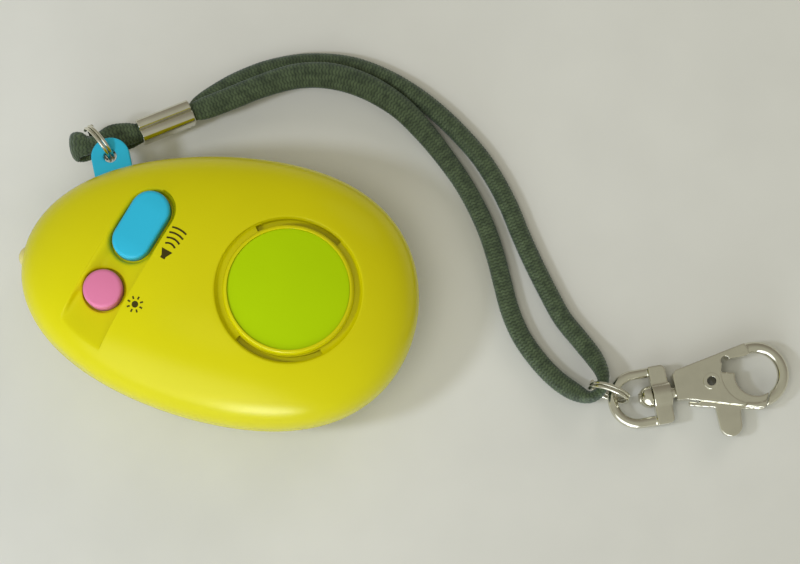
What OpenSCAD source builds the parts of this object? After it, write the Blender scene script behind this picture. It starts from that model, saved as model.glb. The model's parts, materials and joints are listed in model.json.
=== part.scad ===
// Personal safety alarm: an egg-shaped case with two buttons, a sounder, a lamp and a pull pin,
// and a braided wrist strap that ends in a swivel hook.
// Millimetres. The case lies on its flat back, broad end towards +X, front towards +Z.

/* [Case] */
// Length of the egg-shaped case
case_l = 73; // [70:0.5:80]
// Width of the case at half its length
case_w = 49; // [47:0.5:56]
// Height of the front shell above the parting line
front_h = 13; // [12.5:0.5:16]
// Height of the rear shell from the rest face to the parting line
rear_h = 13; // [12.5:0.5:16]
// How much broader one end is than the other
egg_taper = 0.13; // [0.1:0.01:0.18]
// Fullness of the two ends
egg_fullness = 0.12; // [0.08:0.01:0.18]
// Roundness of the domes, 2 for an ellipse and more for a flatter top
dome_power = 2.5; // [2.3:0.1:3]
// Wall thickness of both shells
wall = 1.8; // [1.5:0.1:2]
// Depth that the rear dome is cut flat to rest on
rest_cut = 1; // [0.8:0.1:1.6]
// Height of the lip that joins the shells
lip_h = 1; // [0.6:0.1:1.1]
// Gap between pieces that fit together
fit = 0.15; // [0.1:0.05:0.2]

/* [Sounder] */
// Distance of the sounder from the middle of the case
sounder_x = 13.4; // [11:0.1:14]
// Lean of the sounder with the dome, in degrees
sounder_lean = 6; // [4:0.5:8]
// Outer diameter of the sounder groove
groove_d = 26; // [25:0.5:28]
// Width of the groove's floor
groove_w = 1.3; // [1:0.1:1.6]
// Depth of the groove's floor below the dome's crown at the sounder
groove_floor = 1.9; // [1.7:0.1:2.1]
// Sweep of each sound slot, in degrees
slot_sweep = 74; // [50:1:90]
// Diameter of the green disc
disc_d = 21.4; // [20:0.2:23]
// Crown of the green disc over its edge
disc_crown = 0.7; // [0.4:0.1:0.9]
// Depth of the green disc's seat below the dome's crown
disc_seat = 1.1; // [1:0.1:1.3]
// Diameter of the piezo plate
piezo_d = 27; // [25:0.5:28]
// Diameter of the piezo ceramic
ceramic_d = 20; // [16:0.5:22]

/* [Buttons] */
// Distance of the light button from the narrow end of the case
light_x = 17.3; // [16.5:0.1:18]
// Place of the light button across the case
light_y = -5; // [-6:0.1:-4]
// Diameter of the light button
light_d = 7; // [6.5:0.1:8]
// Direction of the button channel, in degrees from the long axis
channel_angle = 69; // [66:1:72]
// Distance between the middles of the two buttons
button_pitch = 13.2; // [13:0.1:14.2]
// Length of the alarm button
alarm_l = 13.2; // [12.6:0.1:14]
// Width of the alarm button
alarm_w = 7.1; // [6:0.1:7.5]
// Width of the channel
channel_w = 9.2; // [8.8:0.1:10]
// Depth of the channel at its crest
channel_depth = 1.4; // [1.1:0.1:1.6]
// Lean of the channel's floor towards the narrow end, in degrees
channel_lean = 4; // [2:0.5:5]
// Radius of the channel's curved floor
channel_r = 95; // [80:1:120]
// Distance from the light button to the crest of the channel's floor
channel_crest = 10.4; // [9:0.1:12]
// How far the buttons stand above the channel's floor
button_rise = 1.8; // [1.4:0.1:2.2]
// Travel of the buttons
button_travel = 0.6; // [0.3:0.1:0.7]
// Gap around the buttons in their wells
button_gap = 0.4; // [0.3:0.05:0.5]
// Width of the collar that keeps the buttons in
collar_w = 0.8; // [0.6:0.1:0.9]

/* [Lamp] */
// Diameter of the lamp
lamp_d = 4.4; // [4:0.1:5.2]
// How far the lamp's tip stands out of the case
lamp_tip = 0.6; // [0.6:0.1:1.4]

/* [Pull pin] */
// Direction in which the pin is drawn, in degrees from the long axis
pin_angle = 112; // [109:1:115]
// Distance of the pin's hole from the narrow end of the case
pin_x = 12; // [11.5:0.1:12.5]
// Place of the pin's hole across the case
pin_y = 21.4; // [21:0.1:22]
// Width of the tab
tab_w = 7.1; // [6.8:0.1:7.6]
// Thickness of the tab
tab_t = 1.8; // [1.6:0.1:2]
// Diameter of the hole in the tab
tab_hole = 2.4; // [2.3:0.1:2.8]
// Distance from the hole to the end of the tab's neck inside the case
neck_l = 6.6; // [6:0.1:7]
// Distance from the hole to the end of the blade
blade_l = 17; // [15:0.5:18]
// Width of the blade
blade_w = 4.6; // [4:0.1:5]
// Thickness of the blade
blade_t = 1; // [0.8:0.1:1.2]

/* [Battery] */
// Diameter of a button cell
cell_d = 11.6; // [11:0.1:11.8]
// Height of a button cell
cell_h = 5.4; // [5:0.1:5.6]
// Number of cells in the row
cell_count = 3; // [2:1:3]
// Length of the battery cover
cover_l = 28; // [27:0.5:30]
// Width of the battery cover
cover_w = 14.4; // [14:0.1:16]
// Thickness of the battery cover
cover_t = 1.3; // [1:0.1:1.5]
// How far the cover lies above the rest face
cover_recess = 0.3; // [0.2:0.05:0.5]

/* [Board] */
// Thickness of the circuit board
board_t = 1; // [0.8:0.1:1.6]
// Height of the board above the parting line
board_rise = 1.2; // [1:0.1:1.4]
// Side of the switches
switch_w = 6; // [5:0.1:6.2]
// Height of the switches
switch_h = 3.4; // [3:0.1:3.6]

/* [Rings] */
// Outer diameter of the split rings
ring_d = 8; // [7.8:0.1:8.4]
// Diameter of the rings' wire
ring_wire = 0.65; // [0.6:0.05:0.8]

/* [Strap] */
// Length of the crimp
crimp_l = 10.6; // [10:0.1:11]
// Width of the crimp
crimp_w = 4.6; // [4.5:0.1:5]
// Radius of the crimp's rolled edges
crimp_roll = 1.25; // [1.2:0.05:1.4]

/* [Hook] */
// Width of the swivel eye
eye_w = 11; // [10.6:0.1:11.6]
// Diameter of the eye's wire
eye_wire = 1.9; // [1.6:0.1:2]
// Length of the eye
eye_l = 11.6; // [11.2:0.1:12.2]
// Thickness of the eye's base
eye_base = 3.2; // [2.8:0.1:3.4]
// Depth of the eye's base through the hook's plane
eye_depth = 2.8; // [2.4:0.1:3.2]
// Diameter of the swivel pin
swivel_d = 2; // [1.6:0.1:2.2]
// Thickness of the hook's body
hook_t = 3.6; // [3.2:0.1:4]
// Inner diameter of the hook's loop
loop_d = 8; // [7.6:0.1:8.4]
// Thickness of the loop's limb
limb_t = 2.2; // [2:0.1:2.6]
// Thickness of the lever
lever_t = 1.6; // [1.4:0.1:1.8]
// Diameter of the rivet's shank
rivet_d = 2.2; // [2:0.1:2.4]
// Diameter of the hole through the rivet
rivet_hole = 1.7; // [1.2:0.1:1.8]

/* [Hidden] */

$fn = 64;
// Steps around and up a dome
dome_sides = 64;
dome_steps = 9;
// Overlap of cutting solids past the faces that they cut
past = 1;
// Gap of a shaft that turns in its bore
run = 0.05;
// Gap of a piece that sits still in its bore
snug = 0.02;

// Heights of the case, from the rest face
seam = rear_h;
crown = seam + front_h;
board_z = seam + board_rise;
board_top = board_z + board_t;
lamp_z = board_z + board_t / 2;

// The egg outline as a closed curve of the angle t, set inwards along its normal
function egg_swell(c) = 1 + egg_taper * c + egg_fullness * c * c;
function egg_rim(t) = [case_l / 2 * cos(t), case_w / 2 * sin(t) * egg_swell(cos(t))];
function egg_slope(t) = [-case_l / 2 * sin(t),
    case_w / 2 * (cos(t) * egg_swell(cos(t)) - pow(sin(t), 2) * (egg_taper + 2 * egg_fullness * cos(t)))];
function egg_point(t, inset) = let (d = egg_slope(t)) egg_rim(t) + inset * [-d[1], d[0]] / norm(d);
function egg_outline(inset) = [for (i = [0 : dome_sides - 1]) egg_point(360 * i / dome_sides, inset)];

// Height of the front dome over a point of the case: the outline is shrunk until it meets the point
function in_egg(x, y, s) = let (c = 2 * x / (s * case_l))
    abs(c) < 1 && abs(y) < s * case_w / 2 * sqrt(1 - c * c) * egg_swell(c);
function egg_share(x, y, low = 0.001, high = 2, left = 24) = left == 0 ? high :
    let (s = (low + high) / 2) in_egg(x, y, s) ? egg_share(x, y, low, s, left - 1)
                                               : egg_share(x, y, s, high, left - 1);
function dome_share(s) = pow(max(0, 1 - pow(s, dome_power)), 1 / dome_power);
function dome_z(p) = seam + front_h * dome_share(egg_share(p[0], p[1]));

// Buttons, their wells and the channel that they stand in
light_at = [light_x - case_l / 2, light_y];
channel_dir = [cos(channel_angle), sin(channel_angle)];
channel_z = dome_z(light_at + channel_crest * channel_dir) - channel_depth;
function floor_z(along) = channel_z - channel_r + sqrt(pow(channel_r, 2) - pow(along - channel_crest, 2));
light_top = floor_z(0) + button_rise;
alarm_top = floor_z(button_pitch) + button_rise;
button_round = 0.7;
switch_gap = 0.5;
collar_t = 1.2;
collar_z = board_top + switch_h + button_travel + switch_gap;
pad_z = collar_z + collar_t + 2 * fit;
collar_gap = collar_w + fit + button_gap;
plunger_d = 3.4;
plunger_foot = board_top + switch_h / 2;

// Sounder
sounder_z = dome_z([sounder_x, 0]);
rim_w = 0.3;
rim_r = disc_d / 2 + fit + rim_w;
rim_drop = 0.3;
slot_inset = 0.15;
piezo_t = 0.3;
ceramic_t = 0.25;
holder_t = 1.2;
holder_r = piezo_d / 2 + fit;
ledge_w = 1;
piezo_z = crown - 6.9;
retainer_h = 1;

// Screws, lamp and circuit board
case_screws_at = [[25.5, 13], [25.5, -13], [-5, 17], [-5, -17]];
screw_d = 1.8;
screw_head_d = 3.6;
screw_head_h = 1.4;
screw_seat = seam - 5;
screw_l = 10;
boss_d = 5.6;
lamp_rim_t = 1;
lamp_stand = 2.7;
lamp_l = 3 * wall + lamp_tip + lamp_rim_t;
board_edge = 0.9;
board_ends = [lamp_l - lamp_tip + lamp_stand - case_l / 2, 8];
board_screws_at = [[board_ends[0] + 3.4, -10], [-1, 11], [-1, -11]];
board_screw_d = 1.5;
board_screw_l = 5;

// Battery bay
cover_seat = cover_recess + cover_t + fit / 3;
seat_t = 1.4;
contact_t = 0.4;
spring_gap = 1.6;
cells_x = -10.1;
cells_l = cell_count * cell_h;
cells_end = cells_x + 3 * cell_h;
cells_z = cover_recess + cover_t + fit + cell_d / 2;
bay_wall = 1.2;
bay_x = [cells_x - spring_gap - contact_t - fit, cells_end + contact_t + fit];
bay_w = cell_d + 4 * fit;
cover_screw_x = cells_end + 4.6;

// Pull pin
pin_at = [pin_x - case_l / 2, pin_y];
pin_z = seam - fit - tab_t / 2;

// Split rings, each through its two neighbours
ring_r = (ring_d - ring_wire) / 2;
ring_pitch = 1.1 * ring_wire;
pin_ring_angle = 136.8;
pin_ring_drop = 0.7;
pin_ring_reach = sqrt(pow(ring_r, 2) - pow(pin_ring_drop, 2));
pin_ring_at = [pin_at[0] + pin_ring_reach * cos(pin_ring_angle),
    pin_at[1] + pin_ring_reach * sin(pin_ring_angle), pin_z - pin_ring_drop];
hook_ring_angle = 166.8;
hook_ring_at = [73.7, -6.4, ring_d / 2 + 0.1];
ring_lean = 8;

// Crimp, with the strap's two layers one over the other in it
crimp_at = [-20.9, 27.9, 7.2];
crimp_turn = 33.8;
crimp_dip = 7.5;
crimp_slot = [crimp_w - 0.9, 3.1];
crimp_drop = 0.25;

// Route of the strap's small loop, from inside the crimp round the ring and back: x, y, z, width, thickness
loop_route = [[-16.8, 30.7, 7.2, 3.4, 1.3], [-18.9, 29.2, 7.4, 3.4, 1.3], [-20.9, 27.9, 7.8, 3.6, 1.4],
    [-22.8, 27, 8.6, 4.6, 1.8], [-25.3, 25.9, 9.4, 4.8, 2], [-27.7, 24.3, 9.7, 3.6, 2],
    [-29.5, 23.4, 9.5, 3.6, 2], [-31.3, 23.3, 9, 5.4, 2], [-32.3, 23.1, 7.7, 5.8, 2],
    [-31.3, 23.4, 6.3, 5.6, 2], [-29.6, 23.9, 5.8, 4.8, 2], [-27.7, 24.3, 5.6, 3.8, 2],
    [-25.3, 25.9, 5.6, 4.6, 2], [-22.8, 27, 5.8, 4.4, 1.8], [-20.9, 27.9, 6.2, 3.6, 1.4],
    [-18.9, 29.2, 5.8, 3.4, 1.3], [-16.8, 30.7, 5.6, 3.4, 1.3]];
loop_side = [0.36, -0.93, 0];

// Route of the wrist loop, from inside the crimp to the far ring and back: x, y, z, width, thickness
wrist_route = [[-16.4, 31, 5.6, 3.4, 1.3], [-14.2, 32.4, 5.2, 3.4, 1.3], [-12.1, 33.9, 4.8, 3.5, 1.4],
    [-10.6, 35.8, 4.4, 4.5, 1.7], [-8.2, 38.5, 3.9, 4.4, 2], [-4.4, 42, 3.2, 4.1, 2.5],
    [1, 45.6, 2.3, 3.8, 2.8], [8, 48.1, 1.6, 3.8, 2.8], [16.4, 48.7, 1.5, 3.8, 2.8],
    [25, 46.6, 1.5, 3.8, 2.8], [33.4, 42.4, 1.5, 3.8, 2.8], [41.4, 36.4, 1.5, 3.8, 2.8],
    [46.2, 31.4, 1.5, 3.8, 2.8], [50, 26.2, 1.5, 3.8, 2.8], [53.2, 20.8, 1.5, 3.8, 2.8],
    [56.4, 15.8, 1.5, 3.8, 2.8], [59.6, 11.2, 1.5, 3.8, 2.8], [63.2, 6.4, 1.6, 3.8, 2.8],
    [67, 2.8, 1.9, 3.8, 2.8], [70, -0.2, 2.6, 3.6, 3], [71.8, -2.8, 3.6, 2.8, 3.2],
    [72.3, -4.9, 4.1, 2.1, 3.1], [71.8, -6.8, 4.1, 2.1, 3.1], [70, -7.9, 3.6, 2.4, 3.1],
    [67.2, -7.1, 2.5, 3.6, 3], [63.6, -5.2, 1.8, 3.8, 2.8], [59.8, -2.2, 1.5, 3.8, 2.8],
    [56.2, 1.6, 1.5, 3.8, 2.8], [53.4, 6, 1.5, 3.8, 2.8], [51.2, 11, 1.5, 3.8, 2.8],
    [49.2, 15.8, 1.5, 3.8, 2.8], [46.8, 20.6, 1.5, 3.8, 2.8], [44, 25, 1.5, 3.8, 2.8],
    [40.6, 29.4, 1.5, 3.8, 2.8], [36.6, 33.6, 1.6, 4, 2.8], [32, 37.8, 2.1, 4.4, 2.6],
    [26.4, 41.8, 2.9, 4.8, 2.4], [19.6, 44.5, 3.7, 5.2, 2.2], [12.8, 45.3, 4.4, 5.4, 2.2],
    [6.4, 44.1, 5, 5.2, 2.2], [0.2, 41, 5.6, 4.8, 2], [-5.4, 37.4, 6.1, 4.7, 1.8],
    [-9.8, 34.7, 6.4, 4.5, 1.6], [-12, 33.7, 6.4, 3.6, 1.3], [-14.2, 32.4, 6.7, 3.4, 1.2],
    [-16.4, 31, 7.1, 3.4, 1.2]];
cord_sides = 10;
cord_steps = 2;

// Hook: u runs along the swivel's axis from the eye's far edge, v across it in the hook's plane
hook_at = [73.9, -8.5];
hook_angle = 19;
boss_r = 2.4;
hook_z = boss_r + snug;
eye_r = (eye_w - eye_wire) / 2;
boss_l = eye_base + 0.3;
base_u = eye_l - eye_base;
swivel_head = [2.1, 2.4];
neck_gap = 0.75;
neck_u = base_u + boss_l + neck_gap;
swivel_end = neck_u + 3.2;
loop_at = [neck_u + 15.6, 0.7];
loop_r = (loop_d + limb_t) / 2;
rivet_at = [neck_u + 6.9, 0.8];
gate_r = 11;
gate_gap = 0.25;
bar_r = 7.7;
cheek_at = loop_at + [-0.7, 0.5];
cheek_r = loop_r + 0.8;
ledge_v = loop_at[1] + loop_d / 2 - 0.35;
low_slope = -0.292;
lever_slot = lever_t + 2 * fit;
hub_r = 2.1;
spring_wire = 0.3;
spring_pitch = 0.35;
pocket_w = 0.6;
pocket_t = 0.95;

// Closed tube through a list of rings of points
module skin(rings) {
    sides = len(rings[0]);
    last = len(rings) - 1;
    points = [for (ring = rings) each ring];
    walls = [for (i = [0 : last - 1], j = [0 : sides - 1])
        let (k = (j + 1) % sides, a = i * sides, b = a + sides)
        each [[a + j, b + j, b + k], [a + j, b + k, a + k]]];
    caps = [[for (j = [0 : sides - 1]) j], [for (j = [sides - 1 : -1 : 0]) last * sides + j]];
    polyhedron(points, concat(walls, caps), convexity = 8);
}

// Smooth curve through the points of a route, with the same number of steps between each two
function along(route, i) = route[max(0, min(len(route) - 1, i))];
function blend(a, b, c, d, t) = 0.5 * (2 * b + t * (c - a) + t * t * (2 * a - 5 * b + 4 * c - d)
    + t * t * t * (3 * (b - c) + d - a));
function smooth(route, steps) = [for (i = [0 : (len(route) - 1) * steps])
    let (k = floor(i / steps), t = i / steps - k)
    blend(along(route, k - 1), along(route, k), along(route, k + 1), along(route, k + 2), t)];
function unit(v) = v / norm(v);
function place(p) = [p[0], p[1], p[2]];
function heading(path, i) = unit(place(along(path, i + 1)) - place(along(path, i - 1)));

// Rings of a flattened cord along a path; a fixed side keeps a loop that folds over itself from twisting
function cord_rings(path, side = undef) = [for (i = [0 : len(path) - 1])
    let (t = heading(path, i),
         flat = is_undef(side) ? cross([0, 0, 1], t) : side,
         s = unit(flat - (flat * t) * t),
         u = cross(t, s))
    [for (j = [0 : cord_sides - 1]) let (a = 360 * j / cord_sides)
        place(path[i]) + path[i][3] / 2 * cos(a) * s + path[i][4] / 2 * sin(a) * u]];

// Wire wound about Z: turns, mean radius, pitch and wire diameter
module wire_coil(turns, radius, pitch, wire, steps, taper = 0) {
    skin([for (i = [0 : turns * steps])
        let (a = 360 * i / steps, r = radius - taper * i / (turns * steps), out = [cos(a), sin(a), 0])
        [for (j = [0 : 5]) let (b = 60 * j)
            (r + wire / 2 * sin(b)) * out + [0, 0, pitch * (i / steps - turns / 2) + wire / 2 * cos(b)]]]);
}

// Solid dome on an egg outline, standing on z = 0 with a straight skirt below
module egg_dome(inset, height, skirt) {
    rim = egg_outline(inset);
    levels = [for (i = [0 : dome_steps - 1]) let (a = 90 * i / dome_steps)
        [pow(cos(a), 2 / dome_power), height * pow(sin(a), 2 / dome_power)]];
    rings = concat([[1, -skirt]], levels);
    n = dome_sides;
    last = len(rings) - 1;
    points = concat([for (g = rings, p = rim) [g[0] * p[0], g[0] * p[1], g[1]]], [[0, 0, height]]);
    walls = [for (i = [0 : last - 1], j = [0 : n - 1]) let (k = (j + 1) % n)
        [i * n + j, (i + 1) * n + j, (i + 1) * n + k, i * n + k]];
    cap = [for (j = [0 : n - 1]) [last * n + j, len(points) - 1, last * n + (j + 1) % n]];
    polyhedron(points, concat([[for (j = [0 : n - 1]) j]], walls, cap), convexity = 4);
}

module front_solid() {
    translate([0, 0, seam]) egg_dome(0, front_h, 0);
}

module rear_solid() {
    intersection() {
        translate([0, 0, seam]) mirror([0, 0, 1]) egg_dome(0, rear_h + rest_cut, 0);
        translate([-case_l, -case_w, 0]) cube([2 * case_l, 2 * case_w, seam]);
    }
}

// Outline with round ends, along X
module stadium(l, w) {
    square([l - w, w], center = true);
    for (side = [-1, 1]) translate([side * (l - w) / 2, 0]) circle(d = w);
}

// Solid with round ends and a rounded upper edge, along X
module round_bar(l, w, h, edge) {
    module profile() {
        square([w / 2, h - edge]);
        square([w / 2 - edge, h]);
        translate([w / 2 - edge, h - edge]) circle(r = edge, $fn = 32);
    }
    for (side = [0, 1]) rotate([0, 0, 180 * side]) translate([(l - w) / 2, 0, 0])
        rotate([0, 0, -90]) rotate_extrude(angle = 180) intersection() {
            profile();
            square([w, h]);
        }
    translate([-(l - w) / 2, 0, 0]) rotate([90, 0, 90]) linear_extrude(l - w)
        intersection() {
            union() {
                profile();
                mirror([1, 0]) profile();
            }
            translate([-w / 2, 0]) square([w, h]);
        }
}

module in_channel(along_x) {
    translate([light_at[0], light_at[1], 0]) rotate([0, 0, channel_angle]) translate([along_x, 0, 0])
        children();
}

module at_sounder() {
    translate([sounder_x, 0, sounder_z]) rotate([0, sounder_lean, 0]) children();
}

module annulus(outer, inner, low, high) {
    rotate_extrude() translate([inner, low]) square([outer - inner, high - low]);
}

// Cut for the channel: straight sides, a round upper end about the alarm button's own,
// and a leaning floor that is part of a wide cylinder
module channel_cut() {
    end = button_pitch + (alarm_l - alarm_w) / 2;
    length = 2 * button_pitch;
    difference() {
        in_channel(0) translate([0, 0, seam]) linear_extrude(2 * front_h) {
            translate([end - length, -channel_w / 2]) square([length, channel_w]);
            translate([end, 0]) circle(d = channel_w);
        }
        in_channel(channel_crest) translate([0, 0, channel_z]) rotate([90 - channel_lean, 0, 0])
            translate([0, -channel_r, 0])
                cylinder(r = channel_r, h = 3 * channel_w, center = true, $fn = 256);
    }
}

module lamp_bore() {
    translate([-case_l / 2 - past, 0, lamp_z]) rotate([0, 90, 0])
        cylinder(d = lamp_d + 2 * fit, h = 3 * wall);
}

module pin_frame(z) {
    translate([pin_at[0], pin_at[1], z]) rotate([0, 0, pin_angle]) children();
}

module front_shell() {
    color("gold") difference() {
        union() {
            difference() {
                front_solid();
                translate([0, 0, seam]) egg_dome(wall, front_h - wall, past);
            }
            intersection() {
                front_solid();
                union() {
                    in_channel(button_pitch / 2) translate([0, 0, pad_z]) linear_extrude(front_h)
                        stadium(button_pitch + alarm_l + 3 * wall, channel_w + 2 * wall);
                    translate([sounder_x, 0, 0]) {
                        annulus(holder_r + holder_t, holder_r, piezo_z - 2 * retainer_h, crown);
                        annulus(holder_r + holder_t / 2, piezo_d / 2 - ledge_w, piezo_z + piezo_t, crown);
                    }
                    for (p = case_screws_at) translate([p[0], p[1], seam])
                        cylinder(d = boss_d, h = front_h);
                }
            }
        }
        translate([0, 0, seam - past]) linear_extrude(lip_h + fit + past) polygon(egg_outline(wall / 2));
        channel_cut();
        in_channel(0) translate([0, 0, seam]) cylinder(d = light_d + 2 * button_gap, h = front_h);
        in_channel(button_pitch) translate([0, 0, seam]) linear_extrude(front_h)
            stadium(alarm_l + 2 * button_gap, alarm_w + 2 * button_gap);
        in_channel(0) translate([0, 0, seam]) cylinder(d = light_d + 2 * collar_gap, h = pad_z - seam);
        in_channel(button_pitch) translate([0, 0, seam]) linear_extrude(pad_z - seam)
            stadium(alarm_l + 2 * collar_gap, alarm_w + 2 * collar_gap);
        at_sounder() rotate_extrude()
            polygon([[groove_d / 2, -groove_floor], [groove_d / 2, front_h], [rim_r, front_h],
                [rim_r, -rim_drop], [groove_d / 2 - groove_w, -groove_floor]]);
        at_sounder() for (side = [0, 180]) rotate([0, 0, side + 90 - slot_sweep / 2])
            rotate_extrude(angle = slot_sweep)
                translate([groove_d / 2 - groove_w + slot_inset, -front_h / 2])
                    square([groove_w - 2 * slot_inset, front_h / 2]);
        at_sounder() translate([0, 0, -disc_seat]) cylinder(d = disc_d + 2 * fit, h = front_h);
        for (p = case_screws_at) translate([p[0], p[1], seam - past])
            cylinder(d = screw_d + 2 * snug, h = screw_l - (seam - screw_seat) + past + fit);
        lamp_bore();
    }
}

module rear_shell() {
    color("gold") difference() {
        union() {
            difference() {
                rear_solid();
                translate([0, 0, seam]) mirror([0, 0, 1]) egg_dome(wall, rear_h - wall, past);
            }
            intersection() {
                rear_solid();
                union() {
                    translate([0, 0, cover_seat - past]) linear_extrude(seat_t + past)
                        stadium(cover_l + 3 * wall, cover_w + 3 * wall);
                    for (p = case_screws_at) translate([p[0], p[1], 0]) cylinder(d = boss_d, h = seam);
                    translate([cover_screw_x, 0, cover_seat]) cylinder(d = boss_d, h = rear_h / 2);
                }
            }
            intersection() {
                union() {
                    rear_solid();
                    translate([0, 0, seam - past]) linear_extrude(board_rise + past)
                        polygon(egg_outline(2 * wall));
                }
                for (p = board_screws_at) translate([p[0], p[1], 0])
                    cylinder(d = 2.6 * board_screw_d, h = board_z);
            }
            translate([bay_x[0] - bay_wall, -bay_w / 2 - bay_wall, cover_seat])
                cube([bay_x[1] - bay_x[0] + 2 * bay_wall, bay_w + 2 * bay_wall, cells_z - cover_seat]);
            translate([0, 0, seam - wall]) linear_extrude(wall + lip_h) difference() {
                polygon(egg_outline(wall / 2 + fit));
                polygon(egg_outline(wall));
            }
        }
        translate([0, 0, -past]) linear_extrude(cover_seat + past)
            stadium(cover_l + 2 * fit, cover_w + 2 * fit);
        translate([bay_x[0], -bay_w / 2, 0]) cube([bay_x[1] - bay_x[0], bay_w, seam]);
        for (p = case_screws_at) translate([p[0], p[1], 0]) {
            translate([0, 0, -past]) cylinder(d = screw_head_d + 4 * fit, h = screw_seat + past);
            cylinder(d = screw_d + 2 * snug, h = seam + past);
        }
        translate([cover_screw_x, 0, cover_seat - past]) cylinder(d = screw_d + 2 * snug, h = rear_h / 2);
        for (p = board_screws_at) translate([p[0], p[1], board_z - board_screw_l])
            cylinder(d = board_screw_d + 2 * snug, h = board_screw_l + past);
        pin_frame(pin_z - tab_t / 2 - fit) translate([-neck_l - wall, -tab_w / 2 - 2 * fit, 0])
            cube([neck_l + wall + tab_w, tab_w + 4 * fit, tab_t + fit + lip_h + past]);
        lamp_bore();
    }
}

module battery_cover() {
    color("gold") difference() {
        translate([0, 0, cover_recess]) linear_extrude(cover_t) stadium(cover_l, cover_w);
        translate([cover_screw_x, 0, 0]) cylinder(d = screw_d + 2 * snug, h = cover_seat);
        translate([cover_screw_x, 0, cover_recess - past])
            cylinder(d = screw_head_d + 2 * fit, h = cover_t / 2 + past);
        for (i = [0 : 3]) translate([-cover_l / 2 + cover_w / 4 + 1.4 * i, -cover_w / 4, 0])
            cube([cover_t / 2, cover_w / 2, cover_recess + cover_t / 4]);
    }
}

// Screw along +Z with its head's underside at z = 0
module screw(d, head_d, head_h, l) {
    cylinder(d = d, h = l);
    rotate_extrude() intersection() {
        translate([0, head_d * 0.6 - head_h]) circle(r = head_d * 0.6);
        translate([0, -head_h]) square([head_d / 2, head_h]);
    }
}

module cover_screw() {
    head_h = cover_t / 2;
    color("silver") translate([cover_screw_x, 0, cover_recess + head_h])
        screw(screw_d, screw_head_d, head_h, rear_h / 2 - wall);
}

module case_screws() {
    color("silver") for (p = case_screws_at) translate([p[0], p[1], screw_seat])
        screw(screw_d, screw_head_d, screw_head_h, screw_l);
}

module green_disc() {
    cap_r = (pow(disc_d / 2, 2) + pow(disc_crown, 2)) / (2 * disc_crown);
    top = fit / 2;
    color("yellowgreen") at_sounder() rotate_extrude() intersection() {
        translate([0, -disc_seat]) square([disc_d / 2, disc_seat + past]);
        translate([0, top - cap_r]) circle(r = cap_r, $fn = 720);
    }
}

module piezo_plate() {
    color("goldenrod") translate([sounder_x, 0, piezo_z]) cylinder(d = piezo_d, h = piezo_t);
}

module piezo_ceramic() {
    color("whitesmoke") translate([sounder_x, 0, piezo_z - ceramic_t])
        cylinder(d = ceramic_d, h = ceramic_t);
}

module piezo_retainer() {
    color("dimgray") translate([sounder_x, 0, 0])
        annulus(piezo_d / 2 + fit / 2, piezo_d / 2 - ledge_w, piezo_z - retainer_h, piezo_z);
}

module circuit_board() {
    color("darkgreen") difference() {
        translate([0, 0, board_z]) linear_extrude(board_t) intersection() {
            polygon(egg_outline(wall + board_edge));
            translate([board_ends[0], -case_w]) square([board_ends[1] - board_ends[0], 2 * case_w]);
        }
        for (p = case_screws_at) translate([p[0], p[1], seam]) cylinder(d = boss_d + 4 * fit, h = front_h);
        for (p = board_screws_at) translate([p[0], p[1], seam])
            cylinder(d = board_screw_d + 2 * fit, h = front_h);
    }
}

module board_screws() {
    color("silver") for (p = board_screws_at) translate([p[0], p[1], board_top]) mirror([0, 0, 1])
        screw(board_screw_d, 2 * board_screw_d, board_screw_d * 0.7, board_screw_l);
}

module driver_chip() {
    body = [5, 4, 1.5];
    lead = [0.4, 0.9, 0.3];
    lead_step = 1.27;
    color("#303030") translate([-5, 4, board_top]) {
        translate([-body[0] / 2, -body[1] / 2, lead[2] / 2]) cube([body[0], body[1], body[2]]);
        for (i = [-1.5 : 1.5], side = [-1, 1])
            translate([i * lead_step - lead[0] / 2, side * (body[1] + lead[1]) / 2 - lead[1] / 2, 0])
                cube([lead[0], lead[1], 2 * lead[2]]);
    }
}

module boost_coil() {
    color("#4a3020") translate([-7.5, -8.5, board_top]) rotate_extrude()
        polygon([[0, 0], [3.6, 0], [3.6, 0.9], [3, 1.2], [3, 3.8], [3.6, 4.1], [3.6, 5], [0, 5]]);
}

module alarm_button() {
    color("deepskyblue") in_channel(button_pitch) {
        translate([0, 0, collar_z + collar_t / 2])
            round_bar(alarm_l, alarm_w, alarm_top - collar_z - collar_t / 2, button_round);
        translate([0, 0, collar_z]) linear_extrude(collar_t)
            stadium(alarm_l + 2 * collar_w + 2 * fit, alarm_w + 2 * collar_w + 2 * fit);
    }
}

module light_button() {
    h = light_top - collar_z;
    edge = button_round;
    r = light_d / 2;
    color("palevioletred") in_channel(0) translate([0, 0, collar_z]) rotate_extrude() {
        square([r + collar_w + fit, collar_t]);
        square([r, h - edge]);
        square([r - edge, h]);
        translate([r - edge, h - edge]) intersection() {
            circle(r = edge);
            square(edge);
        }
    }
}

module switch_housing(at) {
    color("#404040") in_channel(at) difference() {
        translate([-switch_w / 2, -switch_w / 2, board_top]) cube([switch_w, switch_w, switch_h]);
        translate([0, 0, plunger_foot - button_travel - fit])
            cylinder(d = plunger_d + 2 * fit, h = switch_h + past);
    }
}

module switch_plunger(at) {
    color("tan") in_channel(at) translate([0, 0, plunger_foot])
        cylinder(d = plunger_d, h = collar_z - plunger_foot);
}

module alarm_switch() {
    switch_housing(button_pitch);
}

module light_switch() {
    switch_housing(0);
}

module alarm_plunger() {
    switch_plunger(button_pitch);
}

module light_plunger() {
    switch_plunger(0);
}

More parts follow.
